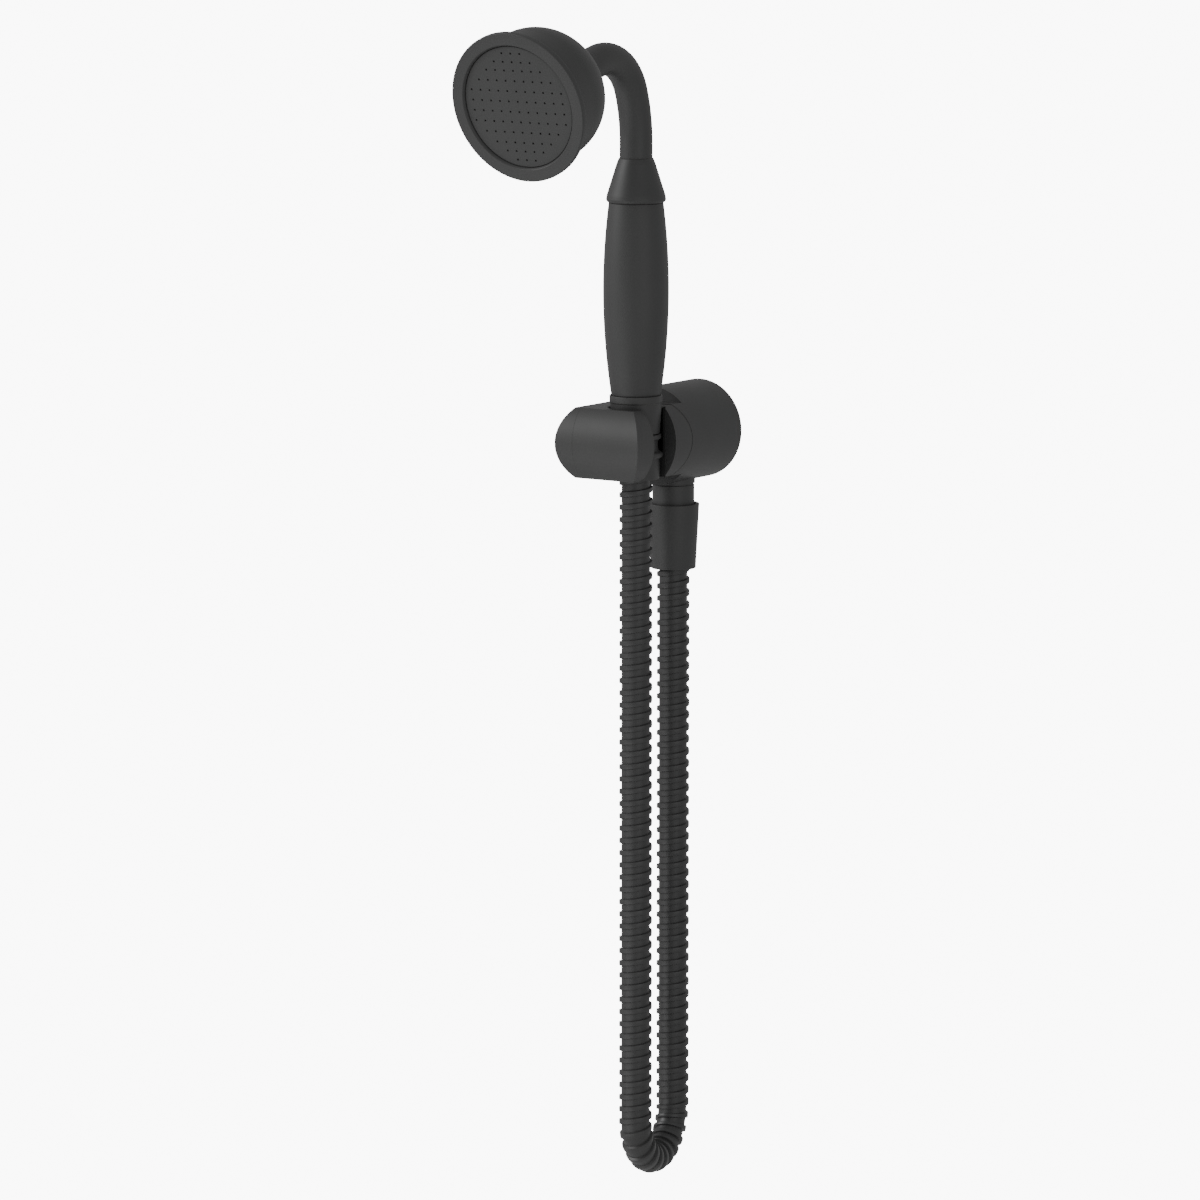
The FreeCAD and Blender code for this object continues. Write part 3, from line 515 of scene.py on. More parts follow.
class SpanTree:
    """Geometry tree that wraps a ribbed sheath round a route, its ribs running as one helix."""

    NAME = "Ribbed sheath"
    CROWN = 0.12
    ROUTE_POINTS = 700

    @classmethod
    def tree(cls) -> bpy.types.NodeTree:
        """Return the tree, built the first time that it is asked for."""
        found = bpy.data.node_groups.get(cls.NAME)
        if found:
            return found
        nodes = Nodes(bpy.data.node_groups.new(cls.NAME, "GeometryNodeTree"))
        nodes.socket("Geometry", "NodeSocketGeometry", out=True)
        nodes.socket("Route", "NodeSocketObject")
        nodes.socket("Side", "NodeSocketVector")
        nodes.socket("Shift", "NodeSocketFloat")
        nodes.socket("Length", "NodeSocketFloat")
        nodes.socket("Pitch", "NodeSocketFloat")
        nodes.socket("Crest radius", "NodeSocketFloat")
        nodes.socket("Valley radius", "NodeSocketFloat")
        nodes.socket("Crest share", "NodeSocketFloat")
        nodes.socket("Sides", "NodeSocketInt")
        nodes.socket("Rows per turn", "NodeSocketInt")
        nodes.socket("Material", "NodeSocketMaterial")
        given = nodes.add("NodeGroupInput").outputs
        whole_turns = nodes.math("CEIL", nodes.math("DIVIDE", given["Length"], given["Pitch"]))
        turns = nodes.math("ADD", whole_turns, 3.0)
        rows = nodes.math("MULTIPLY", turns, given["Rows per turn"])
        grid = nodes.add("GeometryNodeMeshGrid", 1.0, 1.0, nodes.math("ADD", rows, 1.0),
                         nodes.math("ADD", given["Sides"], 1.0))
        place = nodes.add("ShaderNodeSeparateXYZ", nodes.add("GeometryNodeInputPosition").outputs[0])
        row = nodes.math("ROUND", nodes.math("MULTIPLY", nodes.math("ADD", place.outputs[0], 0.5), rows))
        around = nodes.math("ADD", place.outputs[1], 0.5)
        height = nodes.math("DIVIDE", row, given["Rows per turn"])
        along = nodes.math("MULTIPLY", nodes.math("SUBTRACT", nodes.math("ADD", height, around), 2.0),
                           given["Pitch"])
        along = nodes.math("ADD", along, given["Shift"])
        kept = nodes.math("MINIMUM", nodes.math("MAXIMUM", along, 0.0), given["Length"])
        inside = nodes.math("MULTIPLY", nodes.math("GREATER_THAN", along, 0.0),
                            nodes.math("LESS_THAN", along, given["Length"]))
        info = nodes.add("GeometryNodeObjectInfo", given["Route"], transform_space="RELATIVE")
        fine = nodes.add("GeometryNodeResampleCurve")
        nodes.feed(fine.inputs["Curve"], info.outputs["Geometry"])
        nodes.feed(fine.inputs["Count"], cls.ROUTE_POINTS)
        sample = nodes.add("GeometryNodeSampleCurve", mode="LENGTH", use_all_curves=True)
        nodes.feed(sample.inputs["Curves"], fine.outputs[0])
        nodes.feed(sample.inputs["Length"], kept)
        ahead = sample.outputs["Tangent"]
        out = nodes.vector("NORMALIZE", nodes.vector("CROSS_PRODUCT", given["Side"], ahead))
        side = nodes.vector("CROSS_PRODUCT", ahead, out)
        phase = nodes.math("FRACT", nodes.math("ADD", height, 0.001))
        flank = nodes.math("DIVIDE", 1.0, given["Rows per turn"])
        rise = nodes.add("ShaderNodeMapRange", phase, 0.0, flank, 0.0, 1.0, interpolation_type="SMOOTHSTEP")
        fall = nodes.add("ShaderNodeMapRange", phase, given["Crest share"],
                         nodes.math("ADD", given["Crest share"], flank), 1.0, 0.0,
                         interpolation_type="SMOOTHSTEP")
        crest = nodes.math("MULTIPLY", nodes.math("MULTIPLY", rise.outputs[0], fall.outputs[0]), inside)
        across_rib = nodes.math("DIVIDE", phase, nodes.math("ADD", given["Crest share"], flank))
        arch = nodes.math("SINE", nodes.math("MULTIPLY", across_rib, math.pi))
        crown = nodes.math("MULTIPLY", arch, cls.CROWN)
        shape = nodes.math("MULTIPLY", crest, nodes.math("ADD", crown, 1.0 - cls.CROWN))
        gain = nodes.math("SUBTRACT", given["Crest radius"], given["Valley radius"])
        radius = nodes.math("MULTIPLY_ADD", shape, gain, given["Valley radius"])
        angle = nodes.math("MULTIPLY", around, 2 * math.pi)
        reach_out = nodes.vector("SCALE", out, nodes.math("MULTIPLY", nodes.math("COSINE", angle), radius))
        reach_side = nodes.vector("SCALE", side, nodes.math("MULTIPLY", nodes.math("SINE", angle), radius))
        spot = nodes.vector("ADD", nodes.vector("ADD", reach_out, reach_side), sample.outputs["Position"])
        moved = nodes.add("GeometryNodeSetPosition", grid.outputs[0])
        nodes.feed(moved.inputs["Position"], spot)
        merged = nodes.add("GeometryNodeMergeByDistance", moved.outputs[0])
        nodes.feed(merged.inputs["Distance"], 2e-6)
        real = nodes.add("GeometryNodeRealizeInstances", merged.outputs[0])
        dressed = nodes.add("GeometryNodeSetMaterial", real.outputs[0])
        nodes.feed(dressed.inputs["Material"], given["Material"])
        nodes.add("NodeGroupOutput", dressed.outputs[0])
        return nodes.tree


class JetTree:
    """Geometry tree that drills the spray holes through a plate lying in its local x-y plane."""

    NAME = "Spray holes"
    COLUMNS = 11
    ROWS = 12
    FULL_HALF_ROW = 6.5
    EVEN_ROWS = 3.0

    @classmethod
    def tree(cls) -> bpy.types.NodeTree:
        """Return the tree, built the first time that it is asked for."""
        found = bpy.data.node_groups.get(cls.NAME)
        if found:
            return found
        nodes = Nodes(bpy.data.node_groups.new(cls.NAME, "GeometryNodeTree"))
        nodes.socket("Geometry", "NodeSocketGeometry")
        nodes.socket("Geometry", "NodeSocketGeometry", out=True)
        nodes.socket("Hole radius", "NodeSocketFloat")
        nodes.socket("Pitch", "NodeSocketFloat")
        nodes.socket("Outer pitch", "NodeSocketFloat")
        nodes.socket("Depth", "NodeSocketFloat")
        nodes.socket("Material", "NodeSocketMaterial")
        given = nodes.add("NodeGroupInput").outputs
        grid = nodes.add("GeometryNodeMeshGrid", 1.0, 1.0, cls.COLUMNS, cls.ROWS)
        place = nodes.add("ShaderNodeSeparateXYZ", nodes.add("GeometryNodeInputPosition").outputs[0])
        column = nodes.math("ROUND", nodes.math("MULTIPLY", place.outputs[0], cls.COLUMNS - 1.0))
        row = nodes.math("MULTIPLY", place.outputs[1], cls.ROWS - 1.0)
        step = nodes.math("ROUND", nodes.math("SUBTRACT", nodes.math("ABSOLUTE", row), 0.5))
        limit = nodes.math("SUBTRACT", cls.FULL_HALF_ROW, step)
        extra = nodes.math("GREATER_THAN", nodes.math("ABSOLUTE", column), limit)
        near = nodes.math("ADD", nodes.math("MINIMUM", step, cls.EVEN_ROWS), 0.5)
        far = nodes.math("MAXIMUM", nodes.math("SUBTRACT", step, cls.EVEN_ROWS), 0.0)
        up = nodes.math("MULTIPLY_ADD", near, given["Pitch"],
                        nodes.math("MULTIPLY", far, given["Outer pitch"]))
        spot = nodes.add("ShaderNodeCombineXYZ", nodes.math("MULTIPLY", column, given["Pitch"]),
                         nodes.math("MULTIPLY", up, nodes.math("SIGN", row)), 0.0)
        culled = nodes.add("GeometryNodeDeleteGeometry", grid.outputs[0], extra, domain="POINT")
        moved = nodes.add("GeometryNodeSetPosition", culled.outputs[0])
        nodes.feed(moved.inputs["Position"], spot.outputs[0])
        drill = nodes.add("GeometryNodeMeshCylinder", 16)
        nodes.feed(drill.inputs["Radius"], given["Hole radius"])
        nodes.feed(drill.inputs["Depth"], given["Depth"])
        placed = nodes.add("GeometryNodeInstanceOnPoints", moved.outputs[0])
        nodes.feed(placed.inputs["Instance"], drill.outputs[0])
        drills = nodes.add("GeometryNodeRealizeInstances", placed.outputs[0])
        cut = nodes.add("GeometryNodeMeshBoolean", operation="DIFFERENCE", solver="EXACT")
        nodes.feed(cut.inputs["Mesh 1"], given["Geometry"])
        nodes.feed(cut.inputs["Mesh 2"], drills.outputs[0])
        real = nodes.add("GeometryNodeRealizeInstances", cut.outputs[0])
        dressed = nodes.add("GeometryNodeSetMaterial", real.outputs[0])
        nodes.feed(dressed.inputs["Material"], given["Material"])
        nodes.add("NodeGroupOutput", dressed.outputs[0])
        return nodes.tree


def grown(name: str, base: bpy.types.Object, tree: bpy.types.NodeTree,
          values: dict[str, Any]) -> bpy.types.Object:
    """Run a geometry tree on an object and keep the result as a plain mesh.

    Args:
        name: the new piece's name.
        base: the object that the tree works on, which is removed.
        tree: the geometry tree.
        values: what each named input is set to.

    Returns:
        The new object.
    """
    modifier = base.modifiers.new("tree", "NODES")
    modifier.node_group = tree
    for item in tree.interface.items_tree:
        if item.item_type == "SOCKET" and item.in_out == "INPUT" and item.name in values:
            modifier[item.identifier] = values[item.name]
    bpy.context.view_layer.update()
    view = base.evaluated_get(bpy.context.evaluated_depsgraph_get())
    data = bpy.data.meshes.new_from_object(view)
    base.modifiers.remove(modifier)
    bpy.data.objects.remove(base)
    data.name = name
    piece = bpy.data.objects.new(name, data)
    bpy.context.scene.collection.objects.link(piece)
    return piece


# ---------------------------------------------------------------- the hose


class Route:
    """Centreline of the hose: a smooth spline through listed control points, in metres."""

    # From the outlet nut down, round the bottom and up to the middle of the left leg.
    LOWER = (
        (0.0000, -0.0233, -0.0506),
        (0.0000, -0.0233, -0.3165),
        (0.0000, -0.0233, -0.3344),
        (0.0019, -0.0358, -0.3470),
        (0.0051, -0.0535, -0.3470),
        (0.0070, -0.0660, -0.3344),
        (0.0070, -0.0660, -0.3165),
        (0.0070, -0.0660, -0.1100),
    )
    # From there up into the handset, past the collar to what lifting the handset uncovers.
    UPPER = (
        (0.0070, -0.0660, -0.1100),
        (0.0070, -0.0660, -0.0300),
        (0.0070, -0.0660, 0.0480),
    )

    @staticmethod
    def curve(name: str, points: Iterable[Sequence[float]]) -> bpy.types.Object:
        """Return a curve object with one open spline over the control points."""
        data = bpy.data.curves.new(name, "CURVE")
        data.dimensions = "3D"
        data.resolution_u = 24
        spline = data.splines.new("NURBS")
        places = list(points)
        spline.points.add(len(places) - 1)
        for point, place in zip(spline.points, places):
            point.co = (*place, 1.0)
        spline.order_u = 3
        spline.use_endpoint_u = True
        route = bpy.data.objects.new(name, data)
        bpy.context.scene.collection.objects.link(route)
        bpy.context.view_layer.update()
        return route

    @staticmethod
    def line(route: bpy.types.Object) -> list[Vector]:
        """Return the points that the spline runs through."""
        data = bpy.data.meshes.new_from_object(route)
        found = [vertex.co.copy() for vertex in data.vertices]
        bpy.data.meshes.remove(data)
        return found

    @staticmethod
    def length(line: Sequence[Vector]) -> float:
        """Return the length of a polyline."""
        return sum((after - before).length for before, after in zip(line, line[1:]))


@dataclass(frozen=True)
class Hose:
    """Ribbed hose in two spans: one that stays with the bracket and one above it that runs up into the
    handset.
    """

    crest_radius: float = 7.85 * MM
    valley_radius: float = 6.75 * MM
    pitch: float = 5.9 * MM
    crest_share: float = 0.44
    sides: int = 40
    rows: int = 16
    side: tuple[float, float, float] = (0.9868, 0.1618, 0.0)

    def span(self, name: str, points: Sequence[Sequence[float]], shift: float) -> tuple[Any, list[Vector]]:
        """Build one span of the hose.

        Args:
            name: the piece's name.
            points: control points of its centreline.
            shift: how far its ribs are shifted along it.

        Returns:
            The piece and the points of its centreline.
        """
        route = Route.curve(name + "_route", points)
        line = Route.line(route)
        base = bpy.data.objects.new(name + "_base", bpy.data.meshes.new(name + "_base"))
        bpy.context.scene.collection.objects.link(base)
        piece = grown(name, base, SpanTree.tree(), {
            "Route": route, "Side": self.side, "Shift": shift, "Length": Route.length(line),
            "Pitch": self.pitch, "Crest radius": self.crest_radius, "Valley radius": self.valley_radius,
            "Crest share": self.crest_share, "Sides": self.sides, "Rows per turn": self.rows,
            "Material": HOSE_BLACK.material()})
        bpy.data.objects.remove(route)
        mesh = bmesh.new()
        mesh.from_mesh(piece.data)
        bmesh.ops.dissolve_degenerate(mesh, edges=mesh.edges, dist=1e-7)
        bmesh.ops.holes_fill(mesh, edges=mesh.edges, sides=0)
        bmesh.ops.recalc_face_normals(mesh, faces=mesh.faces)
        mesh.to_mesh(piece.data)
        mesh.free()
        piece.data.shade_smooth()
        piece.data.set_sharp_from_angle(angle=math.radians(60.0))
        return piece, line

    def build(self) -> None:
        lower, line = self.span("shower_hose", Route.LOWER, 0.0)
        seat(lower, "bracket", "hose_ribs", "hose_sheath")
        long = Route.length(line)
        upper, rise = self.span("hose_upper", Route.UPPER, -(long % self.pitch))
        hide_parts("hose_inner_tube")
        top = Box.of("hose_end_collar").low.z
        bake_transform(upper)
        Route.length(rise)
        LOG.info("hose: %.3f m and %.3f m", long, Route.length(rise))


# ---------------------------------------------------------------- sub-assemblies


@dataclass(frozen=True)
class Bracket:
    """Wall body, its saddle, the outlet spigot and the swivelling hose nut."""

    edge: float = 0.4 * MM
    groove: float = 0.35 * MM

    def build(self, frame: dict[str, Any]) -> None:
        """Build the bracket's visible pieces."""
        seat(machined_copy("wall_body", frame, "wall_body_shell", POWDER_BLACK, self.edge),
             "bracket", "black_coat")
        self._spigot()
        self._nut()

    def _spigot(self) -> None:
        """Turn the spigot, whose top edge leaves a fine joint under the wall body."""
        box = Box.of("outlet_spigot")
        axis = Axis(Vector((box.centre.x, box.centre.y, box.low.z)), Vector((0, 0, 1)))
        thread, neck, stud, bore = 10.4 * MM, 10.0 * MM, 9.0 * MM, 6.5 * MM
        shoulder = 22.1 * MM
        top = box.size.z
        corners = [Corner(bore, 0.0), Corner(thread, 0.0, 0.4 * MM), Corner(thread, 10.0 * MM, 0.2 * MM),
                   Corner(neck, 10.6 * MM, 0.2 * MM), Corner(neck, shoulder - 1.0 * MM, 0.1 * MM),
                   Corner(neck - self.groove, shoulder - 0.7 * MM, 0.1 * MM),
                   Corner(neck - self.groove, shoulder, 0.1 * MM), Corner(stud, shoulder), Corner(stud, top),
                   Corner(bore, top)]
        neck_piece = turned("outlet_spigot_neck", corners, axis, POWDER_BLACK)
        seat(neck_piece, "bracket", "black_coat", "outlet_spigot")

    def _nut(self) -> None:
        """Turn the conical hose nut under the spigot."""
        box = Box.of("outlet_hose_nut")
        axis = Axis(Vector((box.centre.x, box.centre.y, box.low.z)), Vector((0, 0, 1)))
        wide, narrow, high = box.size.x / 2, 10.75 * MM, box.size.z
        thread, mouth, floor = 10.53 * MM, 8.2 * MM, 14.0 * MM
        corners = [Corner(mouth, 0.0, 0.3 * MM), Corner(narrow, 0.0, 0.6 * MM), Corner(wide, high, 0.5 * MM),
                   Corner(thread + 0.3 * MM, high, 0.25 * MM), Corner(thread, high - 0.8 * MM),
                   Corner(thread, floor), Corner(mouth, floor)]
        seat(turned("outlet_nut_cone", corners, axis, POWDER_BLACK), "outlet_nut", "black_coat",
             "outlet_hose_nut")


@dataclass(frozen=True)
class Cradle:
    """Knuckle that tilts on the wall body, with its end cap and liner."""

    edge: float = 0.4 * MM

    def build(self, frame: dict[str, Any]) -> None:
        """Build the cradle's visible pieces."""
        for node, name in (("cradle_body", "cradle_knuckle"), ("cradle_end_cap", "cradle_cap")):
            seat(machined_copy(node, frame, name, POWDER_BLACK, self.edge), "cradle", "black_coat")
        seat(machined_copy("cradle_liner", frame, "cradle_sleeve", PLASTIC, 0.15 * MM), "cradle", "plastic")


@dataclass(frozen=True)
class HoseEnd:
    """Swivel collar that joins the hose to the handset and rests on the cradle's shelf."""

    sleeve: float = 11.1 * MM
    ring: float = 12.6 * MM
    neck: float = 10.4 * MM
    lip: float = 11.9 * MM
    mouth: float = 8.2 * MM
    bore: float = 7.45 * MM

    def build(self) -> None:
        """Turn the collar."""
        box = Box.of("hose_end_collar")
        axis = Axis(Vector((box.centre.x, box.centre.y, box.low.z)), Vector((0, 0, 1)))
        high = box.size.z
        low = 10.1 * MM
        corners = [Corner(self.mouth, 0.0, 0.3 * MM), Corner(self.sleeve, 0.0, 0.5 * MM),
                   Corner(self.sleeve, low, 0.3 * MM), Corner(self.ring, low + 0.2 * MM, 0.5 * MM),
                   Corner(self.ring, low + 2.3 * MM, 0.6 * MM), Corner(self.neck, low + 3.3 * MM, 0.8 * MM),
                   Corner(self.neck, high - 2.9 * MM, 0.7 * MM), Corner(self.lip, high - 2.0 * MM, 0.5 * MM),
                   Corner(self.lip, high, 0.5 * MM), Corner(self.bore, high),
                   Corner(self.bore, high - 3.2 * MM),
                   Corner(self.mouth, high - 3.2 * MM)]
        seat(turned("hose_collar", corners, axis, POWDER_BLACK), "hose_end", "black_coat", "hose_end_collar")


@dataclass(frozen=True)
class Handle:
    """Conical nut, bellied barrel, flared collar and gooseneck of the handset."""

    low_radius: float = 11.7 * MM
    mid_radius: float = 15.45 * MM
    top_radius: float = 12.9 * MM
    stub: float = 10.1 * MM
    cavity: float = 9.6 * MM
    tube_bore: float = 7.6 * MM
    neck_radius: float = 7.75 * MM
    first_bend: float = 71.0 * MM
    second_bend: float = 24.6 * MM
    first_turn: float = 20.0
    whole_turn: float = 105.0
    bend_start: float = 141.4 * MM
    tail: float = 22.0 * MM
    joint: float = 0.28 * MM

    def axis(self, z: float) -> Axis:
        """Return the handset's axis with its foot at a height."""
        centre = Box.of("handle_barrel").centre
        return Axis(Vector((centre.x, centre.y, z)), Vector((0, 0, 1)))

    def build(self) -> None:
        """Build the handle from the bottom up."""
        self._nut()
        self._barrel()
        self._collar()
        self._neck()

    def _nut(self) -> None:
        """Turn the tapered nut with its raised lip."""
        box = Box.of("conical_nut")
        high, lip = box.size.z, box.size.x / 2
        low, thread = 11.2 * MM, 10.53 * MM
        corners = [Corner(self.tube_bore, 0.0), Corner(low, 0.0, 0.4 * MM),
                   Corner(lip - 0.35 * MM, high - 3.6 * MM, 0.25 * MM),
                   Corner(lip, high - 3.2 * MM, 0.25 * MM),
                   Corner(lip, high, 0.45 * MM), Corner(low + 0.6 * MM, high, 0.3 * MM),
                   Corner(low + 0.5 * MM, high - 0.8 * MM, 0.2 * MM), Corner(thread, high - 0.9 * MM),
                   Corner(thread, 2.5 * MM), Corner(self.tube_bore, 2.5 * MM)]
        nut = turned("conical_nut_turned", corners, self.axis(box.low.z), POWDER_BLACK)
        seat(nut, "handset", "black_coat", "conical_nut")

    def _barrel(self) -> None:
        """Turn the bellied barrel on its threaded stub."""
        box = Box.of("handle_barrel")
        high = box.size.z
        thread, bore = 10.4 * MM, self.tube_bore
        shoulder = self.stub - self.joint
        belly = bow((self.low_radius, shoulder + 0.2 * MM), (self.mid_radius, (high + self.stub) / 2),
                    (self.top_radius, high), 48)
        corners = [Corner(bore, 0.0), Corner(thread, 0.0, 0.3 * MM), Corner(thread, shoulder),
                   Corner(self.low_radius - 0.1 * MM, shoulder), *belly[:-1],
                   Corner(self.top_radius, high), Corner(self.cavity, high),
                   Corner(self.cavity, self.stub + 2.0 * MM), Corner(bore, self.stub + 2.0 * MM)]
        grip = turned("barrel_grip", corners, self.axis(box.low.z), POWDER_BLACK, 192)
        seat(grip, "handset", "black_plate", "handle_barrel")

    def _collar(self) -> None:
        """Turn the flared collar: a rounded lip, then a cone up to the gooseneck."""
        box = Box.of("flared_collar")
        high, lip, plug = box.size.z, box.size.x / 2, 9.0 * MM
        roll = arc((lip - 1.7 * MM, plug + 1.6 * MM), 1.7 * MM, -86.0, 12.0, 12)
        tip = self.neck_radius + 0.45 * MM
        corners = [Corner(self.tube_bore, 0.0), Corner(self.cavity - 0.1 * MM, 0.0, 0.2 * MM),
                   Corner(self.cavity - 0.1 * MM, plug), *roll,
                   Corner(lip - 0.25 * MM, plug + 3.4 * MM, 1.2 * MM),
                   Corner(tip + 0.9 * MM, high - 2.5 * MM, 1.6 * MM),
                   Corner(tip, high - 0.3 * MM, 0.4 * MM), Corner(self.neck_radius, high),
                   Corner(self.neck_radius, plug + 8.0 * MM), Corner(self.tube_bore, plug + 8.0 * MM)]
        seat(turned("collar_flare", corners, self.axis(box.low.z), POWDER_BLACK), "handset", "black_coat",
             "flared_collar")

    def _neck(self) -> None:
        """Sweep the gooseneck: straight, a gentle bend, a tight bend, then straight into the head."""
        box = Box.of("gooseneck")
        foot = self.axis(box.low.z).foot
        path = [foot.copy(), Vector((foot.x, foot.y, self.bend_start - 0.001 * MM))]
        here, heading = Vector((foot.x, foot.y, self.bend_start)), 0.0
        for radius, until in ((self.first_bend, self.first_turn), (self.second_bend, self.whole_turn)):
            steps = max(8, int((until - heading) / 2.0))
            start = heading
            lean = math.radians(start)
            centre = here + radius * Vector((0, -math.cos(lean), -math.sin(lean)))
            for step in range(steps + 1):
                angle = math.radians(start + (until - start) * step / steps)
                path.append(centre + radius * Vector((0, math.cos(angle), math.sin(angle))))
            here, heading = path[-1].copy(), until
        turn = math.radians(self.whole_turn)
        path.append(here + self.tail * Vector((0, -math.sin(turn), math.cos(turn))))
        distinct = [path[0]]
        for point in path[1:]:
            if (point - distinct[-1]).length > 0.1 * MM:
                distinct.append(point)
        seat(swept("gooseneck_tube", distinct, [self.neck_radius] * len(distinct), POWDER_BLACK), "handset",
             "black_coat", "gooseneck")


@dataclass(frozen=True)
class Head:
    """Round head: rim, domed shell, socket and drilled spray plate."""

    tilt: float = 15.0
    rim_thick: float = 3.0 * MM
    wall_radius: float = 31.8 * MM
    wall_depth: float = 17.7 * MM
    dome_radius: float = 25.2 * MM
    shell: float = 2.4 * MM
    recess: float = 2.1 * MM
    plate_lift: float = 0.8 * MM
    recess_radius: float = 29.2 * MM
    socket_radius: float = 8.9 * MM
    socket_depth: float = 57.5 * MM
    neck_radius: float = 7.75 * MM
    hole_radius: float = 0.5 * MM
    pitch: float = 4.95 * MM
    outer_pitch: float = 4.15 * MM

    def axis(self, depth: float) -> Axis:
        """Return the head's axis with its foot a depth behind the spray face."""
        plate = Box.of("spray_plate").centre
        turn = math.radians(self.tilt)
        back = Vector((0.0, math.cos(turn), math.sin(turn)))
        thickness = self._plate_size()[1]
        face = plate - back * (self.recess + thickness / 2)
        return Axis(face + back * depth, back)

    def _plate_size(self) -> tuple[float, float]:
        """Return the plate's radius and thickness, from its box and the head's tilt."""
        size = Box.of("spray_plate").size
        turn = math.radians(self.tilt)
        radius = size.x / 2
        return radius, (size.y - 2 * radius * math.sin(turn)) / math.cos(turn)

    def build(self) -> None:
        """Build the head's pieces."""
        self._shell()
        self._plate()

    def _shell(self) -> None:
        """Turn the rim, wall, dome and socket as one hollow shell."""
        rim = Box.of("head_body").size.x / 2
        centre = (self.wall_radius - self.dome_radius, self.wall_depth)
        dome = arc(centre, self.dome_radius, 0.0, 74.0, 36)
        inner = arc(centre, self.dome_radius - self.shell, 74.0, 0.0, 24)
        edge = dome[-1]
        bore, back = self.neck_radius + 0.02 * MM, self.socket_depth
        corners = [Corner(self.recess_radius + 0.8 * MM, 0.0, 0.3 * MM), Corner(rim, 0.0, 0.6 * MM),
                   Corner(rim, self.rim_thick, 0.6 * MM),
                   Corner(self.wall_radius, self.rim_thick, 0.8 * MM), *dome[:-1],
                   Corner(edge.r, edge.z, 0.5 * MM),
                   Corner(self.socket_radius + 1.2 * MM, edge.z + 1.6 * MM, 1.5 * MM),
                   Corner(self.socket_radius, edge.z + 4.2 * MM, 1.5 * MM),
                   Corner(self.socket_radius, back, 0.5 * MM), Corner(bore, back, 0.2 * MM),
                   Corner(bore, edge.z - 1.0 * MM), *inner,
                   Corner(self.wall_radius - self.shell, self.recess + 4.0 * MM),
                   Corner(self.recess_radius, self.recess + 4.0 * MM),
                   Corner(self.recess_radius, 1.1 * MM, 0.3 * MM)]
        seat(turned("head_shell", corners, self.axis(0.0), POWDER_BLACK, 224), "handset", "black_plate",
             "head_body")

    def _plate(self) -> None:
        """Turn the plate flat, drill it with the tree and set it just ahead of the recess's floor."""
        radius, thick = self._plate_size()
        flat = Axis(Vector((0, 0, 0)), Vector((0, 0, 1)))
        corners = [Corner(0.0, 0.0), Corner(radius, 0.0, 0.25 * MM), Corner(radius, thick),
                   Corner(0.0, thick)]
        blank = turned("plate_blank", corners, flat, SPRAY_BLACK, 160)
        piece = grown("spray_face", blank, JetTree.tree(), {
            "Hole radius": self.hole_radius, "Pitch": self.pitch, "Outer pitch": self.outer_pitch,
            "Depth": 6 * thick, "Material": SPRAY_BLACK.material()})
        piece.data.transform(self.axis(self.recess - self.plate_lift).matrix())
        seat(piece, "handset", "black_plate", "spray_plate")


@dataclass(frozen=True)
class Fittings:
    """CAD nodes that stay as they are and only get their finish."""

    rubber: tuple[str, ...] = ("wall_gasket", "spigot_seal", "outlet_washer", "hose_end_washer",
                               "handle_o_rings", "plate_seal")
    plastic: tuple[str, ...] = ("inlet_filter", "check_valve_body", "check_valve_poppet", "handle_water_tube")
    steel: tuple[str, ...] = ("grub_screw", "tilt_screw", "spring_washer", "curved_washer",
                              "check_valve_spring")
    brass: tuple[str, ...] = ("outlet_insert", "hose_end_insert")

    def dress(self, frame: dict[str, Any]) -> None:
        """Give every node that is carried over its finish."""
        for names, finish in ((self.rubber, RUBBER), (self.plastic, PLASTIC), (self.steel, STEEL),
                              (self.brass, BRASS)):
            for name in names:
                materials = frame["nodes"][name].data.materials
                materials.clear()
                materials.append(finish.material())
                LOG.info("%s keeps its CAD shape, in %s", name, finish.name)


# ---------------------------------------------------------------- stage


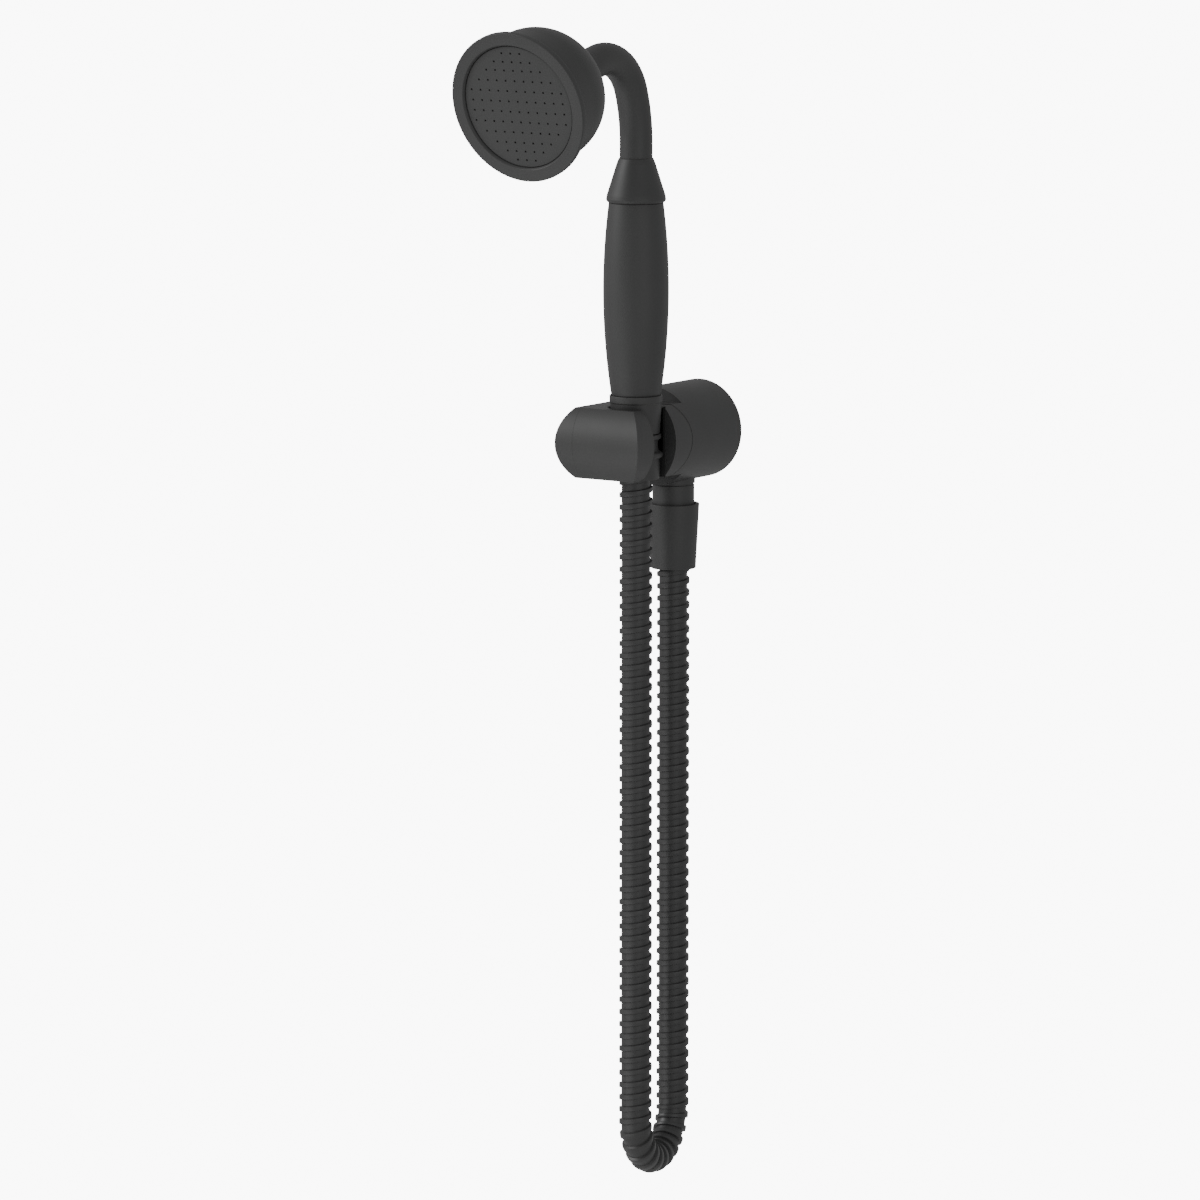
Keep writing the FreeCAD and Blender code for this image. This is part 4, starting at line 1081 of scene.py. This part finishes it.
@dataclass(frozen=True)
class Studio:
    """Camera, pale floor and soft light."""

    azimuth: float = 33.945
    elevation: float = 8.348
    distance: float = 3.4994
    target: tuple[float, float, float] = (-0.02573, -0.04762, -0.07977)
    sensor: float = 36.0
    field: float = 0.57143
    floor_z: float = -0.80
    floor_radius: float = 1.3

    def build(self) -> None:
        """Make the camera, the floor and the lights."""
        self._camera()
        self._floor()
        self._world()
        self._area("key", (-2.3, -1.9, 1.4), 1.6, 50.0)
        self._area("fill", (2.4, -1.4, 0.2), 2.0, 9.0)
        self._area("under", (-0.3, -0.9, -0.78), 1.2, 5.0)

    def _camera(self) -> None:
        """Aim a long lens at the object."""
        turn, rise = math.radians(self.azimuth), math.radians(self.elevation)
        back = Vector((math.sin(turn) * math.cos(rise), -math.cos(turn) * math.cos(rise), math.sin(rise)))
        data = bpy.data.cameras.new("camera")
        data.sensor_width = self.sensor
        data.lens = self.sensor * self.distance / self.field
        data.clip_end = 50.0
        camera = bpy.data.objects.new("camera", data)
        camera.location = Vector(self.target) + back * self.distance
        camera.rotation_euler = back.to_track_quat("Z", "Y").to_euler()
        bpy.context.scene.collection.objects.link(camera)
        bpy.context.scene.camera = camera

    def _floor(self) -> None:
        """Lay a round pale floor under the object."""
        mesh = bmesh.new()
        bmesh.ops.create_circle(mesh, cap_ends=True, segments=96, radius=self.floor_radius)
        data = bpy.data.meshes.new("studio_floor")
        mesh.to_mesh(data)
        mesh.free()
        data.transform(Matrix.Translation((0.0, 0.0, self.floor_z)))
        floor = bpy.data.objects.new("studio_floor", data)
        bpy.context.scene.collection.objects.link(floor)
        pale = bpy.data.materials.new("studio_white")
        pale.use_nodes = True
        shader = pale.node_tree.nodes["Principled BSDF"]
        shader.inputs["Base Color"].default_value = (0.86, 0.86, 0.86, 1.0)
        shader.inputs["Roughness"].default_value = 0.8
        data.materials.append(pale)

    def _world(self) -> None:
        """Make the surroundings white: bright where the camera looks, softer as light."""
        world = bpy.data.worlds.new("studio")
        bpy.context.scene.world = world
        world.use_nodes = True
        nodes = Nodes(world.node_tree)
        back = world.node_tree.nodes["Background"]
        back.inputs[0].default_value = (1.0, 1.0, 1.0, 1.0)
        seen = nodes.add("ShaderNodeLightPath").outputs["Is Camera Ray"]
        nodes.feed(back.inputs[1], nodes.math("MULTIPLY_ADD", seen, 9.0, 0.5))

    def _area(self, name: str, place: tuple[float, float, float], size: float, power: float) -> None:
        """Hang a square soft light that faces the object."""
        data = bpy.data.lights.new(name, "AREA")
        data.size = size
        data.energy = power
        light = bpy.data.objects.new(name, data)
        light.location = place
        light.rotation_euler = (Vector(place) - Vector(self.target)).to_track_quat("Z", "Y").to_euler()
        bpy.context.scene.collection.objects.link(light)


def main() -> None:
    """Build the whole visual model around the frame."""
    logging.basicConfig(level=logging.INFO, format="%(name)s %(message)s")
    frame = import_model()
    Studio().build()
    Hose().build()
    Bracket().build(frame)
    Cradle().build(frame)
    HoseEnd().build()
    Handle().build()
    Head().build()
    Fittings().dress(frame)


if __name__ == "__main__":
    main()
